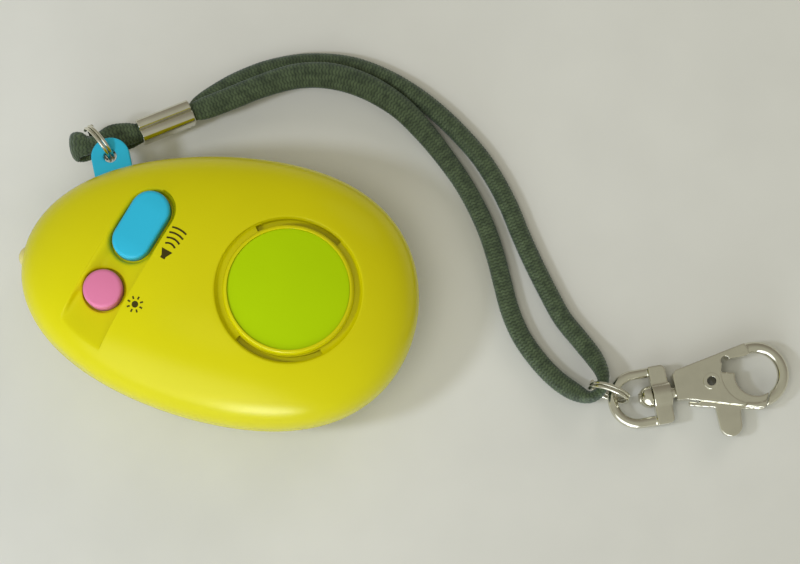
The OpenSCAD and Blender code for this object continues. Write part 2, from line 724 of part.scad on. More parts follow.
// Lamp with a round tip, a rim at its base and two leads that straddle the board's edge
module lamp() {
    flange_w = 0.4;
    lead_d = 0.5;
    lead_l = lamp_stand + 3;
    color("lightyellow") translate([-case_l / 2 - lamp_tip, 0, lamp_z]) rotate([0, 90, 0]) {
        rotate_extrude() {
            intersection() {
                translate([0, lamp_d / 2]) circle(d = lamp_d);
                square([lamp_d, lamp_d / 2]);
            }
            translate([0, lamp_d / 2]) square([lamp_d / 2, lamp_l - lamp_d / 2]);
            translate([0, lamp_l - lamp_rim_t]) square([lamp_d / 2 + flange_w, lamp_rim_t]);
        }
        for (side = [-1, 1]) translate([side * (board_t / 2 + lead_d / 2 + snug), 0, lamp_l])
            cylinder(d = lead_d, h = lead_l, $fn = 24);
    }
}

module button_cells() {
    color("lightgray") for (i = [0 : cell_count - 1])
        translate([cells_end - (i + 1) * cell_h, 0, cells_z]) rotate([0, 90, 0]) rotate_extrude()
            polygon([[0, 0], [cell_d / 2 - 1, 0], [cell_d / 2 - 0.8, 0.3], [cell_d / 2 - 0.3, 0.3],
                [cell_d / 2, 0.6], [cell_d / 2, cell_h - 0.3], [cell_d / 2 - 0.3, cell_h - snug],
                [0, cell_h - snug]]);
}

// Spring that presses the cells together, wound between its contact plate and the first cell
module cell_spring() {
    wire = 0.5;
    turns = 2;
    free = cells_end - cells_l - cells_x + spring_gap;
    color("silver") translate([cells_x - spring_gap + free / 2, 0, cells_z]) rotate([0, 90, 0])
        wire_coil(turns, cell_d / 3, (free - wire - fit) / turns, wire, 16, cell_d / 8);
}

module cell_contacts() {
    plate_w = cell_d * 0.7;
    foot = 3;
    color("silver") for (x = [cells_x - spring_gap - contact_t, cells_end])
        translate([x, -plate_w / 2, cover_seat + foot])
            cube([contact_t, plate_w, board_z - cover_seat - foot]);
}

module pull_pin() {
    color("deepskyblue") pin_frame(pin_z) difference() {
        union() {
            translate([0, 0, -tab_t / 2]) cylinder(d = tab_w, h = tab_t);
            translate([-neck_l, -tab_w / 2, -tab_t / 2]) cube([neck_l, tab_w, tab_t]);
            translate([-blade_l, -blade_w / 2, -blade_t / 2])
                cube([blade_l - neck_l + past, blade_w, blade_t]);
        }
        translate([0, 0, -tab_t]) cylinder(d = tab_hole, h = 2 * tab_t);
    }
}

// Two spring leaves that the blade holds apart, each hung from the board by its own foot
module pin_contacts() {
    leaf_l = 5.5;
    leaf_w = 3;
    leaf_t = 0.25;
    start = blade_l - 1;
    gap = blade_t / 2 + fit;
    foot_y = blade_w / 2 + 2 * fit;
    color("silver") pin_frame(pin_z) {
        translate([-start, -leaf_w / 2, gap]) cube([leaf_l, leaf_w, leaf_t]);
        translate([-start, -leaf_w / 2, gap]) cube([leaf_t, leaf_w, board_z - pin_z - gap]);
        translate([-start, -leaf_w / 2, -gap - leaf_t])
            cube([leaf_l, foot_y + leaf_t + leaf_w / 2, leaf_t]);
        translate([-start, foot_y, -gap - leaf_t]) cube([leaf_w, leaf_t, board_z - pin_z + gap + leaf_t]);
    }
}

module split_ring(at, angle) {
    color("silver") translate(at) rotate([90 + ring_lean, 0, angle])
        wire_coil(2, ring_r, ring_pitch, ring_wire, 20);
}

module pin_ring() {
    split_ring(pin_ring_at, pin_ring_angle);
}

module hook_ring() {
    split_ring(hook_ring_at, hook_ring_angle);
}

module ring_loop() {
    color("darkslategray") skin(cord_rings(smooth(loop_route, cord_steps), loop_side));
}

module wrist_loop() {
    color("darkslategray") skin(cord_rings(smooth(wrist_route, cord_steps)));
}

// Sleeve rolled from sheet: its two edges curl in and meet in a groove along the top
module cord_crimp() {
    half = crimp_w / 2 - crimp_roll;
    low = crimp_slot[1] / 2 + crimp_drop + 0.6 - crimp_roll;
    color("silver") translate(crimp_at) rotate([0, crimp_dip, crimp_turn]) rotate([90, 0, 90])
        linear_extrude(crimp_l) difference() {
            union() {
                for (x = [-half, half], y = [-low, low - crimp_drop]) translate([x, y])
                    circle(r = crimp_roll);
                translate([-crimp_w / 2, -low]) square([crimp_w, 2 * low - crimp_drop]);
                translate([-half, -low - crimp_roll]) square([2 * half, 2 * low]);
            }
            translate([-crimp_slot[0] / 2, -crimp_slot[1] / 2 - crimp_drop]) square(crimp_slot);
        }
}

// Frame of the hook: x along the swivel's axis, y across in the hook's plane, z out of it
module hook_frame() {
    translate([hook_at[0], hook_at[1], hook_z]) rotate([0, 0, hook_angle]) children();
}

module on_axis(u) {
    translate([u, 0, 0]) rotate([0, 90, 0]) children();
}

module swivel_eye() {
    corner = eye_wire / 2;
    color("silver") hook_frame() difference() {
        union() {
            translate([eye_w / 2, 0, 0]) rotate([0, 0, 90]) rotate_extrude(angle = 180)
                translate([eye_r, 0]) circle(d = eye_wire, $fn = 32);
            for (side = [-1, 1]) translate([0, side * eye_r, 0]) on_axis(eye_w / 2)
                cylinder(d = eye_wire, h = eye_l - corner - eye_w / 2, $fn = 32);
            translate([base_u, 0, -eye_depth / 2]) linear_extrude(eye_depth) {
                translate([0, -eye_w / 2]) square([eye_base - corner, eye_w]);
                translate([0, -eye_r]) square([eye_base, 2 * eye_r]);
                for (side = [-1, 1]) translate([eye_base - corner, side * eye_r]) circle(r = corner);
            }
            on_axis(base_u) cylinder(r = boss_r, h = boss_l);
        }
        on_axis(base_u - past) cylinder(d = swivel_d + 2 * run, h = boss_l + 2 * past);
    }
}

module swivel_pin() {
    color("silver") hook_frame() on_axis(base_u - swivel_head[1] - fit) {
        rotate_extrude() {
            intersection() {
                translate([0, swivel_head[0]]) circle(r = swivel_head[0]);
                square(swivel_head[0]);
            }
            translate([0, swivel_head[0]]) square([swivel_head[0], swivel_head[1] - swivel_head[0]]);
        }
        cylinder(d = swivel_d, h = swivel_end - base_u + swivel_head[1]);
    }
}

// Lower edge of the hook's cheeks at a place along the hook
function low_v(u) = -1.75 + low_slope * (u - neck_u - 1.9);

// Outline of the hook's cheeks, hollowed round the gate, with a pocket at the corner over it
module hook_plate() {
    end_u = loop_at[0] - 2.6;
    pocket_at = [rivet_at[0] + 3.3, ledge_v - 0.2];
    difference() {
        polygon([[neck_u, -1.6], [neck_u, 3.2], [neck_u + 0.7, 4],
            [loop_at[0] - 1.25, loop_at[1] + loop_r + limb_t / 2 - 0.13],
            [loop_at[0] - 0.8, loop_at[1] + loop_r], loop_at, [end_u, low_v(end_u)],
            [neck_u + 1.9, low_v(neck_u + 1.9)]]);
        intersection() {
            translate(cheek_at) circle(r = cheek_r);
            translate([cheek_at[0] - 2 * cheek_r, ledge_v - 3 * cheek_r])
                square([4 * cheek_r, 3 * cheek_r]);
        }
        translate(loop_at) circle(d = loop_d);
        translate(pocket_at) circle(r = 0.8);
        difference() {
            translate([rivet_at[0], -3 * loop_d]) square([2 * loop_d, 3 * loop_d]);
            translate(rivet_at) circle(r = bar_r);
        }
    }
}

module hook_body() {
    spine = 1.9;
    slot_u = rivet_at[0] - hub_r - 0.8;
    color("silver") hook_frame() difference() {
        union() {
            translate([0, 0, -hook_t / 2]) linear_extrude(hook_t) hook_plate();
            translate([loop_at[0], loop_at[1], 0]) rotate([0, 0, -95]) rotate_extrude(angle = 213)
                translate([loop_r, 0]) circle(d = limb_t, $fn = 32);
        }
        translate([0, 0, -lever_slot / 2]) linear_extrude(lever_slot)
            polygon([[slot_u, rivet_at[1] + spine], [loop_at[0] - 3.4, ledge_v - 0.1], [loop_at[0], 0],
                [loop_at[0], -loop_d], [slot_u, -loop_d]]);
        intersection() {
            translate([rivet_at[0], rivet_at[1], -hook_t]) cylinder(r = gate_r + gate_gap, h = 2 * hook_t);
            translate([loop_at[0] - loop_r + limb_t, -2 * loop_d, -hook_t])
                cube([loop_d, 2 * loop_d, 2 * hook_t]);
        }
        translate([rivet_at[0], rivet_at[1], -hook_t]) cylinder(d = rivet_d + 2 * snug, h = 2 * hook_t);
        on_axis(neck_u - past) cylinder(d = swivel_d + 2 * snug, h = swivel_end - neck_u + past);
    }
}

// Part of a shape that the gate's end sweeps inside the loop's nose
module in_gate() {
    intersection() {
        children();
        translate(rivet_at) circle(r = gate_r);
    }
}

// Gate that closes the loop: a web between the cheeks, a bar as thick as they are that carries their
// lower edge on to the nose, a thumb tab and a pocket for the spring round the rivet
module hook_lever() {
    tail_u = neck_u + 2.2;
    tail_h = 0.8;
    root_u = rivet_at[0] - hub_r - 0.6;
    nose_u = loop_at[0] + 2;
    tab_at = [rivet_at[0] + 2.2, -7.8];
    tab_r = 2.1;
    color("silver") hook_frame() difference() {
        union() {
            translate([0, 0, -lever_t / 2]) linear_extrude(lever_t) {
                translate(rivet_at) circle(r = hub_r);
                in_gate() difference() {
                    polygon([[tail_u, low_v(tail_u) - 2 * fit], [tail_u, low_v(tail_u) - 2 * fit - tail_h],
                        [tab_at[0], low_v(tab_at[0]) - tail_h], [nose_u, low_v(nose_u)], [nose_u, -3],
                        loop_at, [rivet_at[0] + 4.8, rivet_at[1] + 0.9],
                        [rivet_at[0] + 2.6, rivet_at[1] + 1.4], [rivet_at[0] + 0.5, rivet_at[1] + 1.8],
                        [rivet_at[0] - 1.8, rivet_at[1] - 1], [root_u, low_v(root_u) - 2 * fit]]);
                    translate(loop_at) circle(d = loop_d);
                }
                translate(tab_at) circle(r = tab_r);
                polygon([[tab_at[0] - tab_r - 0.2, low_v(tab_at[0]) + 1], [tab_at[0] - tab_r, tab_at[1]],
                    [tab_at[0] + tab_r, tab_at[1]], [tab_at[0] + tab_r + 0.4, low_v(tab_at[0])]]);
            }
            translate([0, 0, -hook_t / 2]) linear_extrude(hook_t) in_gate() difference() {
                polygon([[rivet_at[0], low_v(rivet_at[0])], [nose_u, low_v(nose_u)], [nose_u, -3],
                    [rivet_at[0], -3]]);
                translate(cheek_at) circle(r = cheek_r);
                translate(rivet_at) circle(r = bar_r + fit);
            }
        }
        translate([rivet_at[0], rivet_at[1], -lever_t]) cylinder(d = rivet_d + 2 * run, h = 2 * lever_t);
        translate([rivet_at[0], rivet_at[1], 0])
            annulus(rivet_d / 2 + pocket_w, rivet_d / 2, lever_t / 2 - pocket_t, lever_t);
    }
}

// Hollow rivet with a rolled head on each cheek of the hook
module lever_rivet() {
    head_w = 0.45;
    head_t = 0.3;
    color("silver") hook_frame() translate([rivet_at[0], rivet_at[1], 0]) {
        annulus(rivet_d / 2, rivet_hole / 2, -hook_t / 2, hook_t / 2);
        for (low = [-hook_t / 2 - head_t, hook_t / 2])
            annulus(rivet_d / 2 + head_w, rivet_hole / 2, low, low + head_t);
    }
}

module lever_spring() {
    turns = 1.5;
    color("silver") hook_frame()
        translate([rivet_at[0], rivet_at[1], lever_t / 2 - pocket_t / 2 + fit / 2])
            wire_coil(turns, rivet_d / 2 + pocket_w / 2, spring_pitch, spring_wire, 16);
}

front_shell();
rear_shell();
battery_cover();
cover_screw();
case_screws();
green_disc();
piezo_plate();
piezo_ceramic();
piezo_retainer();
circuit_board();
board_screws();
driver_chip();
boost_coil();
alarm_button();
light_button();
alarm_switch();
light_switch();
alarm_plunger();
light_plunger();
lamp();
button_cells();
cell_spring();
cell_contacts();
pull_pin();
pin_contacts();
pin_ring();
ring_loop();
cord_crimp();
wrist_loop();
hook_ring();
swivel_eye();
swivel_pin();
hook_body();
hook_lever();
lever_rivet();
lever_spring();
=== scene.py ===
import json
import math

import bpy
import numpy as np
from mathutils import Matrix, Vector
from mathutils.geometry import delaunay_2d_cdt


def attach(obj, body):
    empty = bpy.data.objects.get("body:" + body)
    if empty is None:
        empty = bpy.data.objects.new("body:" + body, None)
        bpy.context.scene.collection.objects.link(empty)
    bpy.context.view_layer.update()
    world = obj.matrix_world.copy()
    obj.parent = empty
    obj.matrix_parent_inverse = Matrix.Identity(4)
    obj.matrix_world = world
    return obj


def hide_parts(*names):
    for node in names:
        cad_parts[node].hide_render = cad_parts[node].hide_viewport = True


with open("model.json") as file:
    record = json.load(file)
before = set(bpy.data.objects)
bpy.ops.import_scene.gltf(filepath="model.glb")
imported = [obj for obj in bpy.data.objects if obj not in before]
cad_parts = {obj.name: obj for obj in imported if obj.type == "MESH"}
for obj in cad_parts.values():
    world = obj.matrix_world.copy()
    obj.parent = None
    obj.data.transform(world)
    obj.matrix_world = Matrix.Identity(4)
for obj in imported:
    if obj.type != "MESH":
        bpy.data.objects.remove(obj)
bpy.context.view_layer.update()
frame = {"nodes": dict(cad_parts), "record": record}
scene = bpy.context.scene
MM = 0.001

# Sizes below are in millimetres and repeat those of the solids, apart from softer edges, the dip in the
# channel's floor, the buttons' thinner collars and the sound slots, which have a floor here

# Case
CASE_L, CASE_W = 73.0, 49.0
TAPER, FULL, POWER = 0.13, 0.12, 2.5
SEAM, FRONT_H, REAR_H, REST_CUT = 13.0, 13.0, 13.0, 1.0
COVER_L, COVER_W, COVER_SEAT, FIT = 28.0, 14.4, 1.65, 0.15
SCREWS = np.array([[25.5, 13], [25.5, -13], [-5, 17], [-5, -17]], float)
SCREW_WELL_R, SCREW_SEAT = 2.1, 8.0
COVER_EDGE, SCREW_EDGE, REST_EDGE = 0.3, 0.25, 0.4
# the rolled edges that meet at the parting line: a height, then insets with their heights
SEAM_EDGE, SEAM_ROLL = 0.22, ((0.06, 0.08), (0.2, 0.02), (1.6, 0.02))
# keeps two surfaces, or the cord and the table, from lying in one plane
APART = 0.02

# Buttons and their channel
LIGHT = np.array([17.3 - CASE_L / 2, -5.0])
CH_ANGLE, CH_LEAN = math.radians(69), math.radians(4)
CH_DIR = np.array([math.cos(CH_ANGLE), math.sin(CH_ANGLE)])
CH_SIDE = np.array([-CH_DIR[1], CH_DIR[0]])
PITCH, CH_W, CH_R, CH_CREST, CH_DEPTH = 13.2, 9.2, 95.0, 10.4, 1.4
LIGHT_D, ALARM_L, ALARM_W, GAP, RISE = 7.0, 13.2, 7.1, 0.4, 1.8
COLLAR_Z, COLLAR_T, COLLAR_W = 19.7, 0.6, 0.9
KEY_EDGE, KEY_CROWN, KEY_DROP = 0.75, 0.18, 0.1
# half width of the smallest ring in the middle of a button or of the cap
INNERMOST = 0.05
ALARM = LIGHT + PITCH * CH_DIR
CH_END = PITCH + (ALARM_L - ALARM_W) / 2
WELL_DEPTH, WELL_LEDGE, LIGHT_LIP, ALARM_LIP = 0.95, 0.06, 0.3, 0.85
# along the channel: where it opens at the narrow end, and where the dip in its floor falls and rises
CH_OPEN, DIP, DIP_FALL, DIP_RISE = (-16, -13), 0.55, (-13, -3), (-3, 5)
# across it: the foot and edge of its walls, and how far and how high the floor sweeps up to one of them
CH_WALL, CH_SOFT = (-0.12, 0.04), 0.012
SWEEP_SHARE, SWEEP_END, SWEEP_SIDE, SWEEP_CHANGE = 0.93, 0.9, 2.5, (-4, 2)

# Sounder
SND_X, LEAN = 13.4, math.radians(6)
GROOVE_R, GROOVE_W, GROOVE_FLOOR = 13.0, 1.3, 1.9
GROOVE_EDGE, GROOVE_FOOT, GROOVE_FOOT_W, SEAT_EDGE = 0.45, 0.35, 0.4, 0.06
SLOT_SWEEP, SLOT_INSET, SLOT_DEPTH = 74.0, 0.15, 1.3
DISC_R, DISC_SEAT, DISC_CROWN, DISC_TOP = 10.7, 1.1, 0.7, 0.075
CAP_GAP, CAP_EDGE, CAP_SIDES = 0.03, 0.05, 144
SEAT_R = DISC_R + FIT
RIM_R, RIM_DROP = SEAT_R + 0.3, 0.3
FLOOR_R = GROOVE_R - GROOVE_W

# Pull pin's notch in the rear shell
PIN = np.array([12.0 - CASE_L / 2, 21.4])
PIN_ANGLE = math.radians(112)
PIN_SIDE = np.array([-math.sin(PIN_ANGLE), math.cos(PIN_ANGLE)])
NOTCH_HALF, NOTCH_DEPTH = 3.85, 2.1

# Split rings and crimp
RING_R, RING_WIRE, RING_PITCH, RING_LEAN = 3.675, 0.65, 0.715, 8.0
RING_STEPS, RING_SIDES = 160, 14
PIN_RING_AT, PIN_RING_ANGLE = (-27.092, 23.834, 11.25), 136.8
HOOK_RING_AT, HOOK_RING_ANGLE = (73.7, -6.4, 4.1), 166.8
CRIMP_AT, CRIMP_TURN, CRIMP_DIP = (-20.9, 27.9, 7.2), 33.8, 7.5
CRIMP_L, CRIMP_W, CRIMP_ROLL, CRIMP_LOW, CRIMP_DROP = 10.6, 4.6, 1.25, 1.15, 0.25
CRIMP_GROOVE, CRIMP_GROOVE_W = 0.18, 0.16
# the rounding of its ends: distances along it and how much its outline shrinks there
CRIMP_EDGE = ((0, 0.12), (0.02, 0.06), (0.12, 0.015), (0.3, 0))


# Outline and dome

def egg(t):
    c, s = np.cos(t), np.sin(t)
    return np.stack([CASE_L / 2 * c, CASE_W / 2 * s * (1 + TAPER * c + FULL * c * c)], -1)


def share(p):
    # how far the outline is shrunk about the middle until it meets each point
    p = np.asarray(p, float)
    low, high = np.full(p.shape[:-1], 1e-4), np.full(p.shape[:-1], 2.0)
    for _ in range(44):
        mid = (low + high) / 2
        c = 2 * p[..., 0] / (mid * CASE_L)
        k = np.clip(c, -1, 1)
        half = mid * CASE_W / 2 * np.sqrt(1 - k * k) * (1 + TAPER * k + FULL * k * k)
        inside = (np.abs(c) < 1) & (np.abs(p[..., 1]) < half)
        high = np.where(inside, mid, high)
        low = np.where(inside, low, mid)
    return high


def dome_share(s):
    return np.maximum(0, 1 - np.clip(s, 0, 1) ** POWER) ** (1 / POWER)


def dome(p):
    return SEAM + FRONT_H * dome_share(share(p))


def step(x, a, b):
    t = np.clip((x - a) / (b - a), 0, 1)
    return t * t * (3 - 2 * t)


def round_over(d, r):
    # drop of a rounded edge of radius r at a distance d outside the edge
    e = np.clip(r - d, 0, r)
    return r - np.sqrt(np.maximum(0, r * r - e * e))


CREST_Z = float(dome(LIGHT + CH_CREST * CH_DIR)) - CH_DEPTH
SND_Z = float(dome(np.array([SND_X, 0.0])))


def channel_frame(p):
    return (p - LIGHT) @ CH_DIR, (p - LIGHT) @ CH_SIDE


def floor_z(s, q=0.0):
    return CREST_Z - CH_R + np.sqrt(CH_R ** 2 - (s - CH_CREST) ** 2) - q * math.tan(CH_LEAN)


def bed_z(s, q):
    # the floor with a shallow dip round the light button
    return floor_z(s, q) - DIP * (1 - step(s, *DIP_RISE)) * step(s, *DIP_FALL)


def stadium_distance(p, length, width):
    s = np.clip(p[..., 0], -(length - width) / 2, (length - width) / 2)
    return np.hypot(p[..., 0] - s, p[..., 1]) - width / 2


def well_distances(p):
    s, q = channel_frame(p)
    light = np.hypot(s, q) - LIGHT_D / 2 - GAP
    alarm = stadium_distance(np.stack([s - PITCH, q], -1), ALARM_L + 2 * GAP, ALARM_W + 2 * GAP)
    return light, alarm


def channel_z(p, top):
    s, q = channel_frame(p)
    depth = top - bed_z(s, q)
    depth = 0.5 * (depth + np.sqrt(depth * depth + CH_SOFT))
    outside = np.hypot(np.maximum(s - CH_END, 0), q) - CH_W / 2
    # towards the narrow end the floor sweeps up to the wall, more gently beyond the light button
    reach = SWEEP_END + (SWEEP_SIDE - SWEEP_END) * step(s, *SWEEP_CHANGE)
    sweep = SWEEP_SHARE * step(np.where(q > 0, outside, -CH_W) / reach, -1, -0.03)
    return top - depth * (1 - sweep) * (1 - step(outside, *CH_WALL)) * step(s, *CH_OPEN)


def sounder_local(p, z):
    dx, dz = p[..., 0] - SND_X, z - SND_Z
    return np.stack([dx * math.cos(LEAN) - dz * math.sin(LEAN), p[..., 1]], -1)


def sounder_plane(local, depth):
    return SND_Z - local[..., 0] * math.sin(LEAN) - depth * math.cos(LEAN)


def leaning(local):
    # plan place on the dome of points given in the sounder's leaning plane
    p = np.column_stack([SND_X + local[:, 0] * math.cos(LEAN), local[:, 1]])
    for _ in range(3):
        dz = dome(p) - SND_Z
        p[:, 0] = SND_X + (local[:, 0] + dz * math.sin(LEAN)) / math.cos(LEAN)
    return p


def front_z(p):
    top = dome(p)
    z = channel_z(p, top)
    s, q = channel_frame(p)
    for d, lip in zip(well_distances(p), (LIGHT_LIP, ALARM_LIP)):
        z = z - round_over(d, lip)
        z = np.where(d < 0, bed_z(s, q) - WELL_DEPTH, z)
    loc = sounder_local(p, top)
    r = np.hypot(loc[..., 0], loc[..., 1])
    z = np.where(r >= GROOVE_R, z - round_over(r - GROOVE_R, GROOVE_EDGE), z)
    bed = GROOVE_FLOOR - GROOVE_FOOT * (1 - step(GROOVE_R - r, 0, GROOVE_FOOT_W))
    side = np.degrees(np.arctan2(np.abs(loc[..., 1]), loc[..., 0])) - 90
    slot = (np.abs(side) < SLOT_SWEEP / 2) & (r > FLOOR_R + SLOT_INSET) & (r < GROOVE_R - SLOT_INSET)
    bed = np.where(slot, GROOVE_FLOOR + SLOT_DEPTH, bed)
    fall = np.clip((r - RIM_R) / (FLOOR_R - RIM_R), 0, 1)
    rim = RIM_DROP + (GROOVE_FLOOR - RIM_DROP) * (1 - np.sqrt(1 - fall * fall))
    rim = rim + round_over(r - SEAT_R, SEAT_EDGE)
    depth = np.where(r > FLOOR_R, bed, np.where(r > SEAT_R, rim, DISC_SEAT))
    return np.where(r < GROOVE_R, sounder_plane(loc, depth), z)


def in_notch(p):
    d = p - PIN
    return (np.abs(d @ PIN_SIDE) < NOTCH_HALF) & (p[..., 1] > 0)


def rear_z(p):
    z = SEAM - (REAR_H + REST_CUT) * dome_share(share(p))
    z = 0.5 * (z + np.sqrt(z * z + REST_EDGE ** 2))
    z = z - REST_EDGE / 2 * step(z, 1.5 * REST_EDGE, REST_EDGE / 2)
    d = stadium_distance(p, COVER_L + 2 * FIT, COVER_W + 2 * FIT)
    z = np.where(d < 0, COVER_SEAT, z + round_over(d, COVER_EDGE))
    for at in SCREWS:
        d = np.linalg.norm(p - at, axis=-1) - SCREW_WELL_R
        z = np.where(d < 0, SCREW_SEAT - 2 * APART, z + round_over(d, SCREW_EDGE))
    z = np.where(in_notch(p), np.minimum(z, SEAM - NOTCH_DEPTH), z)
    return np.maximum(z, 0.0)


# Mesh tools

def add_mesh(name, verts, faces, body, slot, mat, sharp=None):
    me = bpy.data.meshes.new(name)
    corners = [tuple(v) for v in np.asarray(verts, float) * MM]
    me.from_pydata(corners, [], [tuple(int(i) for i in f) for f in faces])
    me.validate()
    me.update()
    me.polygons.foreach_set("use_smooth", np.ones(len(me.polygons), bool))
    if sharp is not None:
        me.set_sharp_from_angle(angle=math.radians(sharp))
    ob = bpy.data.objects.new(name, me)
    scene.collection.objects.link(ob)
    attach(ob, body)
    return paint(ob, mat)


def paint(ob, mat):
    ob.data.materials.clear()
    ob.data.materials.append(mat)
    return ob


def tube(rings, caps=True):
    n, sides = len(rings), len(rings[0])
    verts = np.concatenate(rings)
    faces = []
    for i in range(n - 1):
        a, b = i * sides, (i + 1) * sides
        for j in range(sides):
            k = (j + 1) % sides
            faces.append((a + j, a + k, b + k, b + j))
    if caps:
        faces += [tuple(range(sides - 1, -1, -1)), tuple(range((n - 1) * sides, n * sides))]
    return verts, faces


def height_mesh(z_of, curves, points, outline):
    # plan triangulation of closed curves and points inside an outline, each corner raised to its height
    verts, edges = [], []
    for c in curves + [outline]:
        start, n = len(verts), len(c)
        verts += [Vector((float(x), float(y))) for x, y in c]
        edges += [(start + i, start + (i + 1) % n) for i in range(n)]
    loop = list(range(len(verts) - len(outline), len(verts)))
    verts += [Vector((float(x), float(y))) for x, y in points]
    corners, _, faces, *_ = delaunay_2d_cdt(verts, edges, [loop], 1, 1e-5)
    p = np.array([(a.x, a.y) for a in corners])
    return p, z_of(p), [tuple(f) for f in faces]


def roll_edge(p, z, faces, up):
    # rolled edge at the parting line; up is 1 for the front shell and -1 for the rear
    border = np.where(share(p) > 0.99999)[0]
    order = border[np.argsort(np.arctan2(p[border, 1], p[border, 0]))]
    level = np.full(len(order), SEAM)
    if up < 0:
        level = np.where(in_notch(p[order]), SEAM - NOTCH_DEPTH, level)
    z[order] = level + up * SEAM_EDGE
    verts = np.column_stack([p, z])
    base, n = p[order], len(order)
    out = base / np.linalg.norm(base, axis=1)[:, None]
    for inset, rise in SEAM_ROLL:
        first = len(verts)
        verts = np.concatenate([verts, np.column_stack([base - inset * out, level + up * rise])])
        for j in range(n):
            k = (j + 1) % n
            face = (int(order[j]), first + j, first + k, int(order[k]))
            faces.append(face if up > 0 else face[::-1])
        order = np.arange(first, first + n)
    return verts, faces


def circle_at(centre, r, n=160):
    t = np.linspace(0, 2 * np.pi, n, endpoint=False)
    return np.stack([centre[0] + r * np.cos(t), centre[1] + r * np.sin(t)], -1)


def stadium_points(length, width, n=48, per=14):
    half, r = (length - width) / 2, width / 2
    a = np.linspace(-np.pi / 2, np.pi / 2, n)
    right = np.stack([half + r * np.cos(a), r * np.sin(a)], -1)
    fill = np.linspace(half, -half, per + 2)[1:-1]
    top = np.stack([fill, np.full(per, r)], -1)
    return np.concatenate([right, top, -right, -top])


def along_channel(pts, centre=LIGHT):
    return centre + pts[:, :1] * CH_DIR + pts[:, 1:2] * CH_SIDE


def dome_points(steps, t_max=288):
    phis = np.radians(np.concatenate([[2.5, 5, 8, 11.5], np.linspace(15, 88, steps)]))
    rings = []
    for ph in phis:
        s = math.cos(ph) ** (2 / POWER)
        n = max(24, int(t_max * min(1, s * 1.15)))
        rings.append(s * egg(np.linspace(0, 2 * np.pi, n, endpoint=False)))
    return np.concatenate(rings)


# distances outside an edge at which the mesh has a ring of corners
EDGE_STEPS = (-0.02, 0.0, 0.03, 0.09, 0.18, 0.3)
LIP_STEPS = (-0.02, 0.0, 0.02, 0.06, 0.13, 0.23, 0.36, 0.52, 0.69, 0.86)


def channel_lines():
    # lines along the channel's walls, round its upper end and over its floor
    lines = []
    s = np.arange(-15, CH_END, 0.35)
    for off in (-0.7, -0.55, -0.4, -0.25, -0.12, -0.1, -0.07, -0.04, -0.01, 0.02, 0.04, 0.12, 0.3):
        q = CH_W / 2 + off
        a = np.arange(-np.pi / 2, np.pi / 2, 0.3 / q)
        lines += [np.stack([s, np.full(len(s), side * q)], -1) for side in (-1, 1)]
        lines.append(np.stack([CH_END + q * np.cos(a), q * np.sin(a)], -1))
    for q in np.linspace(-3.6, 3.6, 11):
        lines.append(np.stack([s, np.full(len(s), q)], -1))
    for q in np.linspace(0.4, 3.6, 5):
        a = np.linspace(-np.pi / 2, np.pi / 2, int(10 * q))
        lines.append(np.stack([CH_END + q * np.cos(a), q * np.sin(a)], -1))
    return along_channel(np.concatenate(lines))


def slot_outline(sign, grow):
    half = math.radians(SLOT_SWEEP / 2) + grow / GROOVE_R
    a = np.linspace(np.pi / 2 - half, np.pi / 2 + half, 60)
    outer, inner = GROOVE_R - SLOT_INSET - 0.005 + grow / 4, FLOOR_R + SLOT_INSET + 0.005 - grow / 4
    ring = [outer * np.stack([np.cos(a), np.sin(a)], -1), inner * np.stack([np.cos(a), np.sin(a)], -1)[::-1]]
    return leaning(np.concatenate(ring) * (1, sign))


def front_shell_mesh():
    curves = []
    hole = GAP - WELL_LEDGE
    for e in EDGE_STEPS + (-hole,):
        curves.append(circle_at(LIGHT, LIGHT_D / 2 + GAP + e, 120))
    for e in LIP_STEPS + (-hole,):
        grown = stadium_points(ALARM_L + 2 * (GAP + e), ALARM_W + 2 * (GAP + e), 56, 40)
        curves.append(along_channel(grown, ALARM))
    radii = [GROOVE_R + e for e in (0.5, 0.3, 0.17, 0.08, 0.02, -0.005, -0.08, -0.16, -0.4)]
    radii.append(FLOOR_R + 0.12)
    radii += [RIM_R + (FLOOR_R - RIM_R) * k for k in (1.01, 0.995, 0.96, 0.88, 0.75, 0.55, 0.3, 0)]
    radii += [SEAT_R + e for e in (0.06, 0.03, 0.01, -0.005)]
    curves += [leaning(circle_at((0, 0), r, 300)) for r in radii]
    curves += [slot_outline(sign, grow) for sign in (1, -1) for grow in (0.0, 0.06)]

    def near(pts):
        # close to those rings, where no other corner is wanted
        r = np.hypot(*sounder_local(pts, dome(pts)).T)
        light, alarm = well_distances(pts)
        return (light < 0.5) | (alarm < 1.0) | ((r < GROOVE_R + 0.75) & (r > SEAT_R - 0.4))

    points, lines = dome_points(44), channel_lines()
    lines = lines[share(lines) < 0.985]
    s, q = channel_frame(points)
    beside = (np.hypot(np.maximum(s - CH_END, 0), q) < CH_W / 2 + 0.45) & (s > -15)
    points = np.concatenate([points[~(near(points) | beside)], lines[~near(lines)]])
    p, z, faces = height_mesh(front_z, curves, points, egg(np.linspace(0, 2 * np.pi, 288, endpoint=False)))
    middle = np.array([p[list(f)].mean(0) for f in faces])
    light, alarm = well_distances(middle)
    faces = [f for f, d in zip(faces, np.minimum(light, alarm)) if d > -hole]
    return roll_edge(p, z, faces, 1)


def notch_lines():
    # places on the outline beside each edge of the notch, and points just inside them
    t = np.linspace(np.pi / 2, np.pi, 20001)
    side = (egg(t) - PIN) @ PIN_SIDE
    places = []
    for edge in (-NOTCH_HALF, NOTCH_HALF):
        for e in (-0.02, 0.02):
            places.append(t[np.argmin(np.abs(side - edge - e))])
    inner = [k * egg(np.array(places)) for k in (0.998, 0.995, 0.99, 0.985, 0.975)]
    return np.array(places), np.concatenate(inner)


